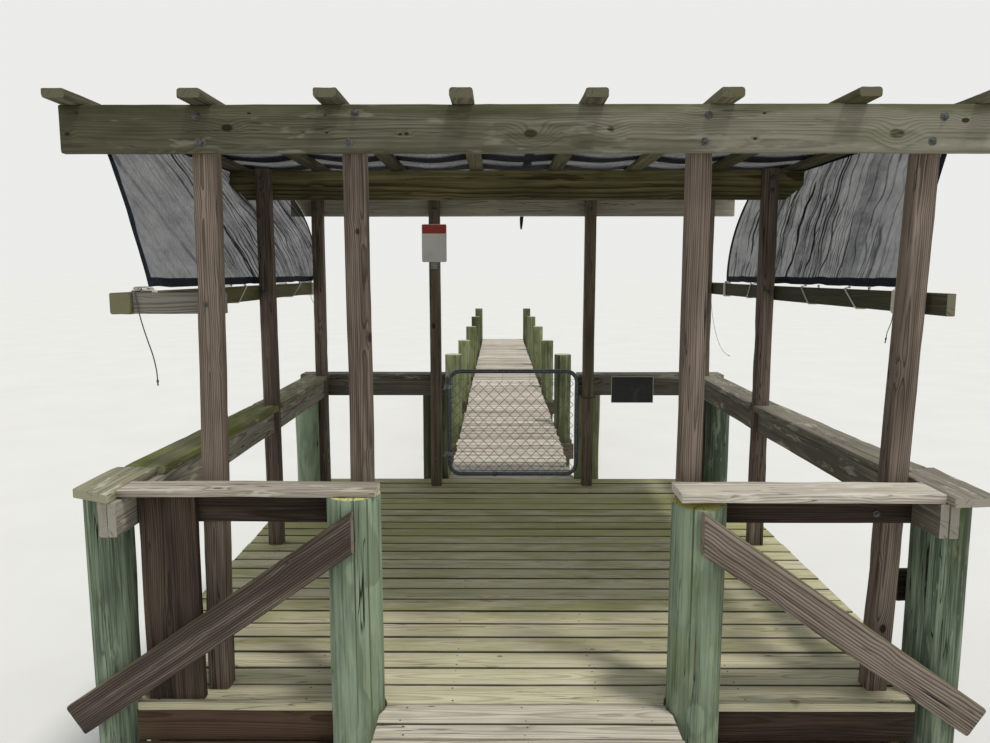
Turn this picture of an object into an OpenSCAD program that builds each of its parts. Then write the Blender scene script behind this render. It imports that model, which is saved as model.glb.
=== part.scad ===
// Timber jetty: a shaded landing platform with a gate, and a piled walkway that runs out over the water.
// Millimetres. +Y runs out over the water, +Z is up, and X is measured from the centreline of the walkway.
// The origin is the middle of the footprint, at the level of the pile feet.

/* [Timber] */
// Thickness of every plank, joist and beam
plank_t = 38; // [32:1:45]
// Width of a deck board
deck_board_w = 140; // [120:1:160]
// Gap between two deck boards
deck_gap = 8; // [4:1:12]
// Width of the narrow timbers: rafters, bars and arms
narrow_w = 89; // [75:1:100]
// Height of the beams and joists
beam_h = 184; // [150:1:210]
// Height of the heavy cross girders
girder_h = 235; // [200:1:260]
// Side of a square post
post_w = 89; // [80:1:100]

/* [Levels] */
// Top of the deck above the pile feet
deck_z = 1250; // [1000:10:1500]
// Top of the roof beams above the deck
roof_h = 2438; // [2300:1:2500]
// Top of the hand rail above the deck
rail_h = 940; // [900:1:1000]
// Thickness of the thin board on the left front rail
thin_cap_t = 30; // [25:1:38]
// Height of the boards under the hand rail
rail_board_h = 140; // [110:1:160]

/* [Platform] */
// Half of the platform's width
deck_half_w = 1780; // [1770:1:1800]
// Number of full width boards
platform_boards_n = 24; // [24:1:25]
// Front faces of the front posts, from the front edge of the platform
front_row_y = 100; // [95:1:110]
// Front faces of the middle posts, from the front posts
mid_row_y = 1788; // [1700:1:1850]
// Front faces of the rear posts, from the front posts
rear_row_y = 3224; // [3200:1:3240]
// Outer faces of the side posts, in from the edge of the deck
post_inset = 140; // [100:1:200]
// Centre of the posts beside the entrance
entrance_x = 688; // [670:1:700]
// Foot of the leaning front post on the left, from the centreline
left_post_foot_x = 1325; // [1300:1:1330]
// Head of the leaning front post on the left, from the centreline
left_post_head_x = 1280; // [1270:1:1300]
// How far the foot of the leaning front post on the right is inside its head
right_post_lean = 75; // [60:1:90]
// Centre of the gate posts
gate_post_x = 638; // [636:1:645]

/* [Roof] */
// How far the roof beams reach past each edge of the deck
beam_over = 45; // [20:1:60]
// Length of the rafters
rafter_l = 3658; // [3600:1:3700]
// How far the rafters reach in front of the front posts
rafter_front = 150; // [120:1:180]
// Number of rafters
rafters_n = 8; // [6:1:9]
// Length of the slanted cut on the middle beam's lower corners
beam_cut_l = 110; // [80:1:130]
// Height of the slanted cut on the middle beam's lower corners
beam_cut_h = 88; // [60:1:95]

/* [Piles] */
// Diameter of the piles beside the entrance
entrance_pile_d = 220; // [200:1:225]
// Centre of the piles beside the entrance, from the centreline
entrance_pile_x = 695; // [690:1:710]
// Diameter of the left outer pile
left_pile_d = 188; // [180:1:210]
// Diameter of the right outer pile
right_pile_d = 225; // [210:1:226]
// Centre of the outer piles, in from the edge of the deck
outer_pile_inset = 28; // [20:1:28]
// Diameter of the piles at the far corners
corner_pile_d = 190; // [170:1:200]
// Diameter of the piles at the start of the walkway
rear_pile_d = 225; // [180:1:230]
// Centre of the piles at the start of the walkway, from the centreline
rear_pile_x = 668; // [660:1:690]
// Diameter of the walkway piles
walk_pile_d = 200; // [150:1:210]
// Centre of the walkway piles, from the centreline
walk_pile_x = 650; // [645:1:700]

/* [Walkway] */
// Width of the walkway boards
walk_w = 1090; // [1000:1:1090]
// Boards from the platform to the first pair of piles
first_bay_boards = 17; // [15:1:18]
// Boards in each bay after that
bay_boards = 20; // [16:1:22]
// Number of equal bays after the first pair of piles
bays_n = 4; // [4:1:4]
// Width of the approach on the landward side
approach_w = 1200; // [1180:1:1220]
// Number of boards on the approach
approach_boards_n = 8; // [6:1:9]

/* [Shade cloth] */
// Thickness of the cloth's solid
cloth_t = 3; // [2:1:4]
// How far the cloth reaches past each end of the beams
cloth_over = 38; // [30:1:50]
// Front edge of the cloth, from the front posts
cloth_front = 280; // [250:1:320]
// Top of the side bars above the deck
bar_top = 1709; // [1690:1:1730]
// Clearance between the curtains and the bars
curtain_clear = 12; // [8:1:20]
// Diameter of the white cord that ties the curtains down
cord_d = 5; // [4:0.5:8]

/* [Gate] */
// Width of the gate over its tubes
gate_w = 1103; // [1095:1:1105]
// Height of the gate over its tubes
gate_h = 914; // [880:1:930]
// Gap under the gate
gate_lift = 78; // [60:1:90]
// Diameter of the gate's tube
tube_d = 35; // [32:1:36]
// Radius of the gate's corners at the middle of the tube
gate_corner_r = 90; // [70:1:110]
// Diagonal of one diamond of the mesh
mesh_pitch = 89; // [80:1:110]
// Thickness of the mesh wire
wire_t = 4; // [3:0.5:5]
// Radius of the hinge pin
pin_r = 6.35; // [5:0.05:7]
// Radial clearance of the hinge eye on its pin
pin_clear = 0.05; // [0.02:0.01:0.1]

/* [Hidden] */
seat = 0.3;
pitch = deck_board_w + deck_gap;
approach_l = approach_boards_n * pitch - deck_board_w + narrow_w;
platform_l = platform_boards_n * pitch;
walk_boards_n = first_bay_boards + bays_n * bay_boards + 1;
walk_l = walk_boards_n * pitch;
total_l = approach_l + platform_l + walk_l - deck_gap;
near_y = -total_l / 2;
deck_y = near_y + approach_l;
walk_y = deck_y + platform_l;
far_y = near_y + total_l;
front_y = deck_y + front_row_y;
mid_y = front_y + mid_row_y;
rear_y = front_y + rear_row_y;
joist_top = deck_z - plank_t;
joist_bottom = joist_top - beam_h;
beam_top = deck_z + roof_h;
beam_bottom = beam_top - beam_h;
cap_top = deck_z + rail_h;
cap_bottom = cap_top - plank_t;
side_face_x = deck_half_w - post_inset;
side_post_x = side_face_x - post_w / 2;
beam_l = 2 * (deck_half_w + beam_over);
cloth_half_w = beam_l / 2 + cloth_over;
outer_pile_x = deck_half_w - outer_pile_inset;
entrance_pile_y = front_y - entrance_pile_d / 2 - 5;
brace_turn = 7.3;
brace_out = entrance_pile_d / 2 + seat;
first_board_half = outer_pile_x - right_pile_d / 2 - 10;
side_board_x = side_face_x - 72;
side_front_x = side_face_x - 40;
corner_pile_x = side_board_x + plank_t + seat + corner_pile_d / 2;
corner_pile_y = rear_y - 75;
rear_pile_y = walk_y - deck_gap + 10 + rear_pile_d / 2;
gate_y = rear_y + post_w / 2 - 6;
bar_z = deck_z + bar_top - narrow_w;
rafter_pitch = (beam_l - narrow_w) / (rafters_n - 1);
rafter_y = front_y - rafter_front;
side_rail_z = cap_bottom - rail_board_h;
gate_x0 = -gate_post_x + post_w / 2 + 52;
tube_r = tube_d / 2;
pin_x = gate_x0 + tube_r - 42;
gate_z = deck_z + gate_lift;
hinge_z = [gate_z + 170, gate_z + gate_h - 170];
eye_h = 30;
$fn = 48;

deck_color = [0.45, 0.46, 0.33];
grey_wood = [0.55, 0.53, 0.47];
brown_wood = [0.36, 0.30, 0.25];
pile_color = [0.37, 0.45, 0.33];
steel_color = [0.5, 0.52, 0.53];
cord_color = [0.8, 0.79, 0.75];

// A timber with one corner at p and the size s
module timber(p, s) {
    translate(p) cube(s);
}

// Mirrored copies on both sides of the centreline
module both_sides() {
    children();
    mirror([1, 0, 0]) children();
}

// A round pile from the ground up to the height top
module pile(x, y, d, top) {
    translate([x, y, 0]) cylinder(h = top, d = d);
}

// Where an outer pile of diameter d stands, so that the slanted brace lies against its front
function outer_pile_y(d) =
    entrance_pile_y + (outer_pile_x - entrance_pile_x) * tan(brace_turn)
    + (d / 2 + seat - brace_out) / cos(brace_turn);

// A row of deck boards across the centreline, the first one starting at y
module board_row(y, n, w) {
    for (i = [0 : n - 1])
        timber([-w / 2, y + i * pitch, joist_top], [w, deck_board_w, plank_t]);
}

// Holes that the piles take out of the deck boards
module pile_notches() {
    notch = 6;
    both_sides() {
        translate([entrance_pile_x, entrance_pile_y, joist_top - 1])
            cylinder(h = plank_t + 2, d = entrance_pile_d + 2 * notch);
        translate([corner_pile_x, corner_pile_y, joist_top - 1])
            cylinder(h = plank_t + 2, d = corner_pile_d + 2 * notch);
    }
    translate([-outer_pile_x, outer_pile_y(left_pile_d), joist_top - 1])
        cylinder(h = plank_t + 2, d = left_pile_d + 2 * notch);
    translate([outer_pile_x, outer_pile_y(right_pile_d), joist_top - 1])
        cylinder(h = plank_t + 2, d = right_pile_d + 2 * notch);
}

// The last board but one before the platform is a narrow one
module approach_boards() {
    color(grey_wood)
        difference() {
            union() {
                board_row(near_y, approach_boards_n - 2, approach_w);
                timber([-approach_w / 2, deck_y - pitch - narrow_w - deck_gap, joist_top],
                       [approach_w, narrow_w, plank_t]);
                board_row(deck_y - pitch, 1, approach_w);
            }
            pile_notches();
        }
}

approach_stringer_x = [-500, 0, 500];
module approach_stringers() {
    color(brown_wood)
        for (x = approach_stringer_x)
            timber([x - plank_t / 2, near_y, joist_bottom],
                   [plank_t, front_y + plank_t - near_y, beam_h]);
}

foot_d = 180;
approach_sill_l = 1120;
approach_foot_y = near_y + 200;
module approach_feet() {
    color(pile_color) {
        timber([-approach_sill_l / 2, approach_foot_y - plank_t / 2, joist_bottom - beam_h],
               [approach_sill_l, plank_t, beam_h]);
        both_sides() pile(approach_stringer_x[2], approach_foot_y, foot_d, joist_bottom - beam_h - seat);
    }
}

module platform_boards() {
    color(deck_color)
        difference() {
            union() {
                board_row(deck_y, 1, 2 * first_board_half);
                board_row(deck_y + pitch, platform_boards_n - 1, 2 * deck_half_w);
            }
            pile_notches();
        }
}

joist_out = deck_half_w - 230;
joist_x = [joist_out / 5, 3 * joist_out / 5, joist_out];
rim_inset = 10;
rim_back = deck_y + rim_inset + plank_t;
rear_rim_y = walk_y - deck_gap - rim_inset - plank_t;
module platform_joists() {
    color(brown_wood)
        both_sides()
            for (x = joist_x)
                timber([x - plank_t / 2, rim_back, joist_bottom],
                       [plank_t, rear_rim_y - rim_back, beam_h]);
}

// Boards on edge along the front and the rear of the platform, and the lower skirt in front
skirt_y = deck_y - 30;
module platform_rims() {
    entrance_side = entrance_pile_x + entrance_pile_d / 2 + seat;
    outer_side = outer_pile_x - right_pile_d / 2 - seat;
    rim_l = outer_side - entrance_side;
    color(brown_wood) {
        both_sides() {
            timber([entrance_side, deck_y + rim_inset, joist_top - deck_board_w],
                   [rim_l, plank_t, deck_board_w]);
            timber([entrance_side, skirt_y, joist_top - deck_board_w - beam_h],
                   [rim_l, plank_t, beam_h]);
        }
        timber([-deck_half_w + rim_inset, rear_rim_y, joist_bottom],
               [2 * (deck_half_w - rim_inset), plank_t, beam_h]);
    }
}

// Cross girders under the joists: behind the entrance piles, on the middle feet and behind the corner piles
girder_z = joist_bottom - girder_h;
front_girder_y = entrance_pile_y + entrance_pile_d / 2 + seat;
mid_girder_y = deck_y + platform_l / 2;
rear_girder_y = corner_pile_y + corner_pile_d / 2 + seat;
mid_girder_half = deck_half_w - 80;
rear_girder_half = deck_half_w - 30;
module platform_girders() {
    color(brown_wood) {
        timber([-first_board_half, front_girder_y, girder_z], [2 * first_board_half, plank_t, girder_h]);
        timber([-mid_girder_half, mid_girder_y, girder_z], [2 * mid_girder_half, plank_t, girder_h]);
        timber([-rear_girder_half, rear_girder_y, girder_z], [2 * rear_girder_half, plank_t, girder_h]);
    }
}

module platform_feet() {
    color(pile_color)
        both_sides()
            pile(mid_girder_half - 500, mid_girder_y + plank_t / 2, foot_d, girder_z);
}

// Pile pairs of the walkway, and the bays of boards between them
pair_boards = [for (i = [0 : bays_n]) first_bay_boards + i * bay_boards];
pair_y = [for (n = pair_boards) walk_y + n * pitch - deck_gap / 2];
module walkway_bay(k) {
    start = k == 0 ? 0 : pair_boards[k - 1];
    end = k == len(pair_boards) - 1 ? walk_boards_n : pair_boards[k];
    color(grey_wood) board_row(walk_y + start * pitch, end - start, walk_w);
}
module walkway_boards_1() { walkway_bay(0); }
module walkway_boards_2() { walkway_bay(1); }
module walkway_boards_3() { walkway_bay(2); }
module walkway_boards_4() { walkway_bay(3); }
module walkway_boards_5() { walkway_bay(4); }

module walkway_stringers() {
    start = rear_rim_y + plank_t;
    color(brown_wood)
        for (x = [-1, 0, 1] * (walk_w / 2 - 60))
            timber([x - plank_t / 2, start, joist_bottom], [plank_t, far_y - start, beam_h]);
}

// Two cross caps hold each pair of piles between them and carry the stringers
module walkway_caps() {
    cap_l = 2 * walk_pile_x + walk_pile_d + 60;
    color(brown_wood)
        for (y = pair_y)
            for (side = [-1, 1])
                timber([-cap_l / 2, y + side * (walk_pile_d / 2 + seat + plank_t / 2) - plank_t / 2,
                        joist_bottom - beam_h],
                       [cap_l, plank_t, beam_h]);
}

// Tops of the walkway piles above the deck, pair by pair
pile_tops = [835, 745, 760, 790, 845];
module walkway_piles() {
    color(pile_color)
        for (i = [0 : bays_n])
            both_sides() pile(walk_pile_x, pair_y[i], walk_pile_d, deck_z + pile_tops[i]);
}

module entrance_piles() {
    color(pile_color) {
        pile(-entrance_pile_x, entrance_pile_y, entrance_pile_d, cap_top - thin_cap_t);
        pile(entrance_pile_x, entrance_pile_y, entrance_pile_d, cap_bottom - 30);
    }
}

module outer_piles() {
    color(pile_color) {
        pile(-outer_pile_x, outer_pile_y(left_pile_d), left_pile_d, cap_bottom);
        pile(outer_pile_x, outer_pile_y(right_pile_d), right_pile_d, cap_bottom);
    }
}

module corner_piles() {
    color(pile_color)
        both_sides() pile(corner_pile_x, corner_pile_y, corner_pile_d, cap_bottom);
}

module rear_piles() {
    color(pile_color)
        both_sides() pile(rear_pile_x, rear_pile_y, rear_pile_d, cap_bottom);
}

// A short board behind the right outer pile
module pile_block() {
    block = [200, plank_t, deck_board_w];
    color(brown_wood)
        timber([outer_pile_x - block[0] / 2, outer_pile_y(right_pile_d) + right_pile_d / 2 + seat,
                deck_z + 349], block);
}

module post(x, y, top) {
    timber([x - post_w / 2, y, deck_z], [post_w, post_w, top - deck_z]);
}

// A post in the front row that leans sideways from foot to head, with level ends
module leaning_post(foot, head) {
    half = post_w / 2;
    translate([0, front_y + post_w, deck_z])
        rotate([90, 0, 0])
            linear_extrude(post_w)
                polygon([[foot - half, 0], [foot + half, 0], [head + half, roof_h], [head - half, roof_h]]);
}

module front_posts() {
    color(brown_wood) {
        leaning_post(-left_post_foot_x, -left_post_head_x);
        both_sides() post(entrance_x, front_y, beam_top);
        leaning_post(side_post_x - right_post_lean, side_post_x);
    }
}

module middle_posts() {
    color(brown_wood) both_sides() post(side_post_x, mid_y, beam_top);
}

module rear_posts() {
    color(brown_wood) both_sides() post(side_post_x, rear_y, beam_top);
}

module gate_posts() {
    color(brown_wood) both_sides() post(gate_post_x, rear_y, beam_top);
}

module front_beam() {
    color(grey_wood)
        timber([-beam_l / 2, front_y - plank_t, beam_bottom], [beam_l, plank_t, beam_h]);
}

module middle_beam() {
    half = beam_l / 2;
    color(grey_wood)
        translate([0, mid_y + post_w + plank_t, beam_bottom])
            rotate([90, 0, 0])
                linear_extrude(plank_t)
                    polygon([[-half + beam_cut_l, 0], [half - beam_cut_l, 0], [half, beam_cut_h],
                             [half, beam_h], [-half, beam_h], [-half, beam_cut_h]]);
}

module rear_beam() {
    color(grey_wood)
        timber([-beam_l / 2, rear_y + post_w, beam_bottom], [beam_l, plank_t, beam_h]);
}

module rafters() {
    color(grey_wood)
        for (i = [0 : rafters_n - 1])
            timber([-beam_l / 2 + i * rafter_pitch, rafter_y, beam_top], [narrow_w, rafter_l, plank_t]);
}

bar_end_y = rear_y + post_w + 30;
module left_bar() {
    start = front_y + 73;
    color(grey_wood)
        timber([-side_face_x - post_w, start, bar_z], [post_w, bar_end_y - start, narrow_w]);
}

module left_arm() {
    inner = -left_post_head_x + post_w / 2 - 20;
    color(grey_wood)
        timber([-side_face_x, front_y + post_w, bar_z], [inner + side_face_x, plank_t, narrow_w]);
}

module right_bar() {
    start = front_y - 95;
    color(grey_wood)
        timber([side_face_x, start, bar_z], [plank_t, bar_end_y - start, narrow_w]);
}

cloth_z = beam_top + plank_t + seat;
cloth_y = front_y + cloth_front;
cloth_l = rafter_y + rafter_l - 30 - cloth_y;
module roof_cloth() {
    color([0.08, 0.09, 0.1])
        timber([-cloth_half_w, cloth_y, cloth_z], [2 * cloth_half_w, cloth_l, cloth_t]);
}

// A curtain leans in from the edge of the roof to just above the bar
left_curtain_l = rear_y + post_w - 8 - cloth_y;
right_curtain_l = rear_y - 330 - cloth_y;
module curtain(curtain_l) {
    low = bar_z + narrow_w + curtain_clear;
    foot_x = side_face_x + post_w / 2;
    color([0.08, 0.09, 0.1])
        translate([0, cloth_y + curtain_l, 0])
            rotate([90, 0, 0])
                linear_extrude(curtain_l)
                    polygon([[cloth_half_w - cloth_t, cloth_z], [cloth_half_w, cloth_z],
                             [foot_x + cloth_t, low], [foot_x, low]]);
}
module left_curtain() { mirror([1, 0, 0]) curtain(left_curtain_l); }
module right_curtain() { curtain(right_curtain_l); }

function unit(v) = v / norm(v);

// Direction of a route at its point i
function route_dir(p, i) = unit(p[min(i + 1, len(p) - 1)] - p[max(i - 1, 0)]);

// A ring of points round c, square to the direction t
function route_ring(c, t, r, ref, sides) =
    let (u = unit(cross(ref, t)), w = cross(t, u))
    [for (k = [0 : sides - 1]) c + r * (cos(360 * k / sides) * u + sin(360 * k / sides) * w)];

// A cord of diameter d along the route p, which nowhere runs along ref
module cord_tube(p, d, ref) {
    n = len(p);
    m = 8;
    color(cord_color)
        polyhedron(
            points = [for (i = [0 : n - 1]) each route_ring(p[i], route_dir(p, i), d / 2, ref, m)],
            faces = [
                [for (k = [0 : m - 1]) k],
                [for (k = [m - 1 : -1 : 0]) (n - 1) * m + k],
                for (i = [0 : n - 2])
                    for (k = [0 : m - 1])
                        let (a = i * m + k, b = i * m + (k + 1) % m)
                            each [[a, a + m, b + m], [a, b + m, b]]
            ]);
}

// Cords round the side bars: three turns at each end of a curtain, and slanted ties between them
cord_gap = cord_d / 2 + seat;
bar_top_z = bar_z + narrow_w;
front_tie_y = cloth_y + 8;
rear_tie_in = 30;
left_tie_y = [-6780, -5620];
right_tie_y = [-7400, -6800, -5900];
tie_pitch = [360, 260];
function bar_corners(inner, outer) = [
    [inner - cord_gap, bar_top_z + cord_gap], [inner - cord_gap, bar_z - cord_gap],
    [outer + cord_gap, bar_z - cord_gap], [outer + cord_gap, bar_top_z + cord_gap]
];
module end_tie(inner, outer, y) {
    corners = bar_corners(inner, outer);
    cord_tube([for (i = [0 : 12]) [corners[i % 4][0], y + i * (cord_d + 1) / 4, corners[i % 4][1]]],
              cord_d, [0, 1, 0]);
}
module slanted_tie(inner, outer, y, pitch) {
    corners = bar_corners(inner, outer);
    share = [0.1, 0.6, 0.7, 0.9];
    hem = [side_face_x + post_w / 2 + cloth_t / 2, y, bar_top_z + curtain_clear - cord_gap];
    turn = [for (i = [0 : 3]) [corners[i][0], y - pitch * share[i], corners[i][1]]];
    cord_tube(concat([hem], turn, [hem - [0, pitch, 0]]), cord_d, [0, 1, 0]);
}
module lashings() {
    mirror([1, 0, 0])
        for (y = [front_tie_y, rear_y - rear_tie_in])
            end_tie(side_face_x, side_face_x + post_w, y);
    for (y = [front_tie_y, cloth_y + right_curtain_l - rear_tie_in])
        end_tie(side_face_x, side_face_x + plank_t, y);
    for (y = left_tie_y) mirror([1, 0, 0]) slanted_tie(side_face_x, side_face_x + post_w, y, tie_pitch[0]);
    for (y = right_tie_y) slanted_tie(side_face_x, side_face_x + plank_t, y, tie_pitch[1]);
}

// Free ends of the cords
near_left_route = [
    [-1686, -8081, 2973], [-1684, -8090, 2966], [-1678, -8115, 2962], [-1663, -8155, 2962],
    [-1646, -8205, 2962], [-1630, -8250, 2963], [-1627, -8264, 2964], [-1625, -8269, 2963],
    [-1624, -8272, 2959], [-1623, -8274, 2952], [-1621, -8274, 2935], [-1617, -8274, 2905],
    [-1611, -8274, 2870], [-1603, -8275, 2835], [-1594, -8275, 2800], [-1584, -8275, 2765],
    [-1573, -8276, 2730], [-1563, -8276, 2695], [-1555, -8276, 2655], [-1550, -8277, 2620],
    [-1549, -8277, 2590]
];
far_left_route = [
    [-1686, -5049, 2973], [-1687, -5043, 2967], [-1689, -5034, 2964], [-1691, -5026, 2964],
    [-1692, -5019, 2964], [-1693, -5014, 2963], [-1693, -5011, 2959], [-1693, -5009, 2952],
    [-1694, -5009, 2930], [-1694, -5009, 2905], [-1693, -5009, 2880], [-1690, -5009, 2855],
    [-1685, -5008, 2832], [-1677, -5008, 2810], [-1666, -5007, 2788], [-1652, -5007, 2767],
    [-1637, -5006, 2747], [-1621, -5006, 2728], [-1605, -5005, 2709], [-1590, -5005, 2690]
];
near_right_route = [
    [1643, -8044, 2870], [1643, -8044, 2862], [1643, -8044, 2854], [1642, -8044, 2846],
    [1641, -8044, 2838], [1639, -8044, 2829], [1637, -8045, 2820], [1634, -8045, 2811],
    [1631, -8045, 2802], [1628, -8045, 2793], [1625, -8045, 2784], [1622, -8045, 2775],
    [1620, -8046, 2766], [1619, -8046, 2758], [1618, -8046, 2750]
];
far_right_route = [
    [1686, -5460, 2973], [1684, -5450, 2966], [1682, -5430, 2962], [1678, -5370, 2962],
    [1673, -5290, 2962], [1668, -5210, 2962], [1663, -5130, 2962], [1660, -5060, 2963],
    [1660, -5019, 2964], [1660, -5014, 2963], [1660, -5011, 2959], [1660, -5009, 2952],
    [1661, -5009, 2915], [1664, -5009, 2870], [1668, -5009, 2820], [1674, -5008, 2765],
    [1682, -5008, 2705], [1693, -5007, 2645], [1706, -5007, 2585], [1721, -5006, 2530],
    [1740, -5006, 2475], [1763, -5006, 2422], [1789, -5006, 2384], [1810, -5006, 2364],
    [1830, -5006, 2352]
];
module cord_near_left() { cord_tube(near_left_route, cord_d, [1, 0, 0]); }
module cord_far_left() { cord_tube(far_left_route, cord_d, [1, 0, 0]); }
module cord_near_right() { cord_tube(near_right_route, cord_d - 1, [0, 1, 0]); }
module cord_far_right() { cord_tube(far_right_route, cord_d, [1, 0, 0]); }

// Hand rail caps, laid flat
cap_in_x = side_face_x - 17;
left_cap_front = front_y - 185;
right_cap_front = front_y - 228;
front_cap_in = 600;
rear_cap_y = rear_y + post_w + seat;
module front_caps() {
    color(grey_wood) {
        timber([-cap_in_x + seat, left_cap_front, cap_top - thin_cap_t],
               [cap_in_x - seat - front_cap_in, deck_board_w, thin_cap_t]);
        timber([front_cap_in, right_cap_front, cap_bottom],
               [cap_in_x - seat - front_cap_in, beam_h, plank_t]);
    }
}

// Each side has three boards: a corner piece, one that leans in to the middle post, and a straight one
corner_cap_y = front_y + 195;
run_cap_x = side_face_x - 52;
mid_cap_x = side_face_x - 105;
module cap_board(y0, y1, x0, x1) {
    polygon([[x0, y0], [x0 + beam_h, y0], [x1 + beam_h, y1], [x1, y1]]);
}
module side_cap(front_out, front_in) {
    joint_y = mid_y + post_w / 2;
    color(grey_wood)
        translate([0, 0, cap_bottom])
            linear_extrude(plank_t)
                difference() {
                    union() {
                        polygon([[cap_in_x, front_in], [cap_in_x + beam_h, front_out],
                                 [cap_in_x + beam_h, corner_cap_y], [cap_in_x, corner_cap_y]]);
                        cap_board(corner_cap_y + seat, joint_y, run_cap_x, mid_cap_x);
                        cap_board(joint_y + seat, rear_cap_y - seat, mid_cap_x, mid_cap_x + 15);
                    }
                    post_notch(mid_y);
                    post_notch(rear_y);
                }
}
module post_notch(y) {
    translate([mid_cap_x - 10, y - seat]) square([side_face_x + seat - mid_cap_x + 10, post_w + 2 * seat]);
}
module left_cap() { mirror([1, 0, 0]) side_cap(front_y - 158, front_y - 250); }
module right_cap() { side_cap(front_y - 262, front_y - 280); }

// Behind the rear posts
rear_rail_in = 560;
rear_cap_out = 150;
module rear_caps() {
    color(grey_wood)
        both_sides()
            timber([rear_rail_in, rear_cap_y, cap_bottom],
                   [side_face_x + rear_cap_out - rear_rail_in, beam_h, plank_t]);
}

// Boards on edge under the caps
module front_rail_boards() {
    inner = entrance_pile_x + entrance_pile_d / 2 - 25;
    color(brown_wood)
        both_sides()
            timber([inner, front_y - plank_t, side_rail_z],
                   [side_front_x - 5 - inner, plank_t, rail_board_h]);
}

// Each side has two lengths that meet the middle post, and a short block outside the front end
side_board_y = front_y - 230;
module side_rail_boards() {
    block_y = outer_pile_y(right_pile_d) - right_pile_d / 2 - seat;
    color(grey_wood)
        both_sides() {
            translate([0, 0, side_rail_z])
                linear_extrude(rail_board_h)
                    polygon([[side_front_x, side_board_y], [side_front_x + plank_t, side_board_y],
                             [side_board_x + plank_t, mid_y - seat], [side_board_x, mid_y - seat]]);
            timber([side_board_x, mid_y + post_w + seat, side_rail_z],
                   [plank_t, rear_y - mid_y - post_w - 2 * seat, rail_board_h]);
            timber([side_front_x + plank_t + seat, side_board_y, side_rail_z],
                   [plank_t, block_y - side_board_y, rail_board_h]);
        }
}

module rear_rail_boards() {
    color(grey_wood)
        both_sides()
            timber([rear_rail_in, rear_y + post_w, side_rail_z],
                   [side_face_x - rear_rail_in, plank_t, rail_board_h]);
}

// Slanted braces across the front of the piles, plumb cut at the top and square cut at the foot
brace_slope = 35.6;
brace_top_over = 33;
brace_top_h = 877;
brace_foot_over = 163;
module brace() {
    top_x = -brace_top_over;
    top_z = deck_z + brace_top_h;
    foot_x = (outer_pile_x - entrance_pile_x) / cos(brace_turn) + brace_foot_over;
    foot_z = top_z - (foot_x - top_x) * tan(brace_slope);
    color(brown_wood)
        translate([entrance_pile_x, entrance_pile_y, 0])
            rotate([0, 0, brace_turn])
                translate([0, -brace_out, 0])
                    rotate([90, 0, 0])
                        linear_extrude(plank_t)
                            polygon([[top_x, top_z], [foot_x, foot_z],
                                     [foot_x - deck_board_w * sin(brace_slope),
                                      foot_z - deck_board_w * cos(brace_slope)],
                                     [top_x, top_z - deck_board_w / cos(brace_slope)]]);
}
module braces() { both_sides() brace(); }

// A wide board that stands on the deck in front of the left rail
upright_in = 50;
module upright_board() {
    color(brown_wood)
        timber([-side_face_x + upright_in, front_y - 2 * plank_t, deck_z],
               [girder_h, plank_t, cap_top - thin_cap_t - deck_z]);
}

// Sign plates: one on the left gate post, one behind the right rear rail
plate_t = 2;
white_w = 202;
white_l = 305;
white_h = 1880;
dark_w = 355;
dark_l = 225;
dark_x = 841;
dark_drop = 15;
module white_plate() {
    color("white")
        timber([-gate_post_x - white_w / 2, rear_y - plate_t, deck_z + white_h], [white_w, plate_t, white_l]);
}

module dark_plate() {
    color([0.1, 0.1, 0.1])
        timber([dark_x, rear_y + post_w - plate_t, cap_top - dark_drop - dark_l], [dark_w, plate_t, dark_l]);
}

// Vertical pins on shanks that come out of the left gate post
module hinge_pins() {
    shank_l = pin_x - (-gate_post_x + post_w / 2);
    color(steel_color)
        for (z = hinge_z)
            translate([pin_x, gate_y, z]) {
                translate([0, 0, -pin_r]) cylinder(h = eye_h + pin_r + 14, r = pin_r);
                translate([-shank_l, 0, 0]) rotate([0, 90, 0]) cylinder(h = shank_l, r = pin_r);
            }
}

// The hinged side: an eye on each pin, joined to a band round the tube
band_t = 4;
module gate_eyes() {
    eye_r = pin_r + 5;
    tube_x = gate_x0 + tube_r;
    color(steel_color)
        for (z = hinge_z)
            translate([0, gate_y, z + pin_r + 1])
                difference() {
                    union() {
                        translate([pin_x, 0, 0]) cylinder(h = eye_h, r = eye_r);
                        translate([tube_x, 0, 0]) cylinder(h = eye_h, r = tube_r + band_t);
                        translate([pin_x, -band_t, 0]) cube([tube_x - pin_x, 2 * band_t, eye_h]);
                    }
                    translate([pin_x, 0, -1]) cylinder(h = eye_h + 2, r = pin_r + pin_clear);
                    translate([tube_x, 0, -1]) cylinder(h = eye_h + 2, r = tube_r + seat);
                }
}

// The bent tube frame of the gate
module gate_frame() {
    w = gate_w - tube_d;
    h = gate_h - tube_d;
    r = gate_corner_r;
    color(steel_color)
        translate([gate_x0 + tube_r, gate_y, gate_z + tube_r])
            rotate([90, 0, 0]) {
                for (x = [0, w])
                    translate([x, r, 0]) rotate([-90, 0, 0]) cylinder(h = h - 2 * r, r = tube_r);
                for (z = [0, h])
                    translate([r, z, 0]) rotate([0, 90, 0]) cylinder(h = w - 2 * r, r = tube_r);
                for (c = [[r, r, 180], [w - r, r, 270], [w - r, h - r, 0], [r, h - r, 90]])
                    translate([c[0], c[1], 0])
                        rotate([0, 0, c[2]])
                            rotate_extrude(angle = 90) translate([r, 0]) circle(r = tube_r);
            }
}

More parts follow.
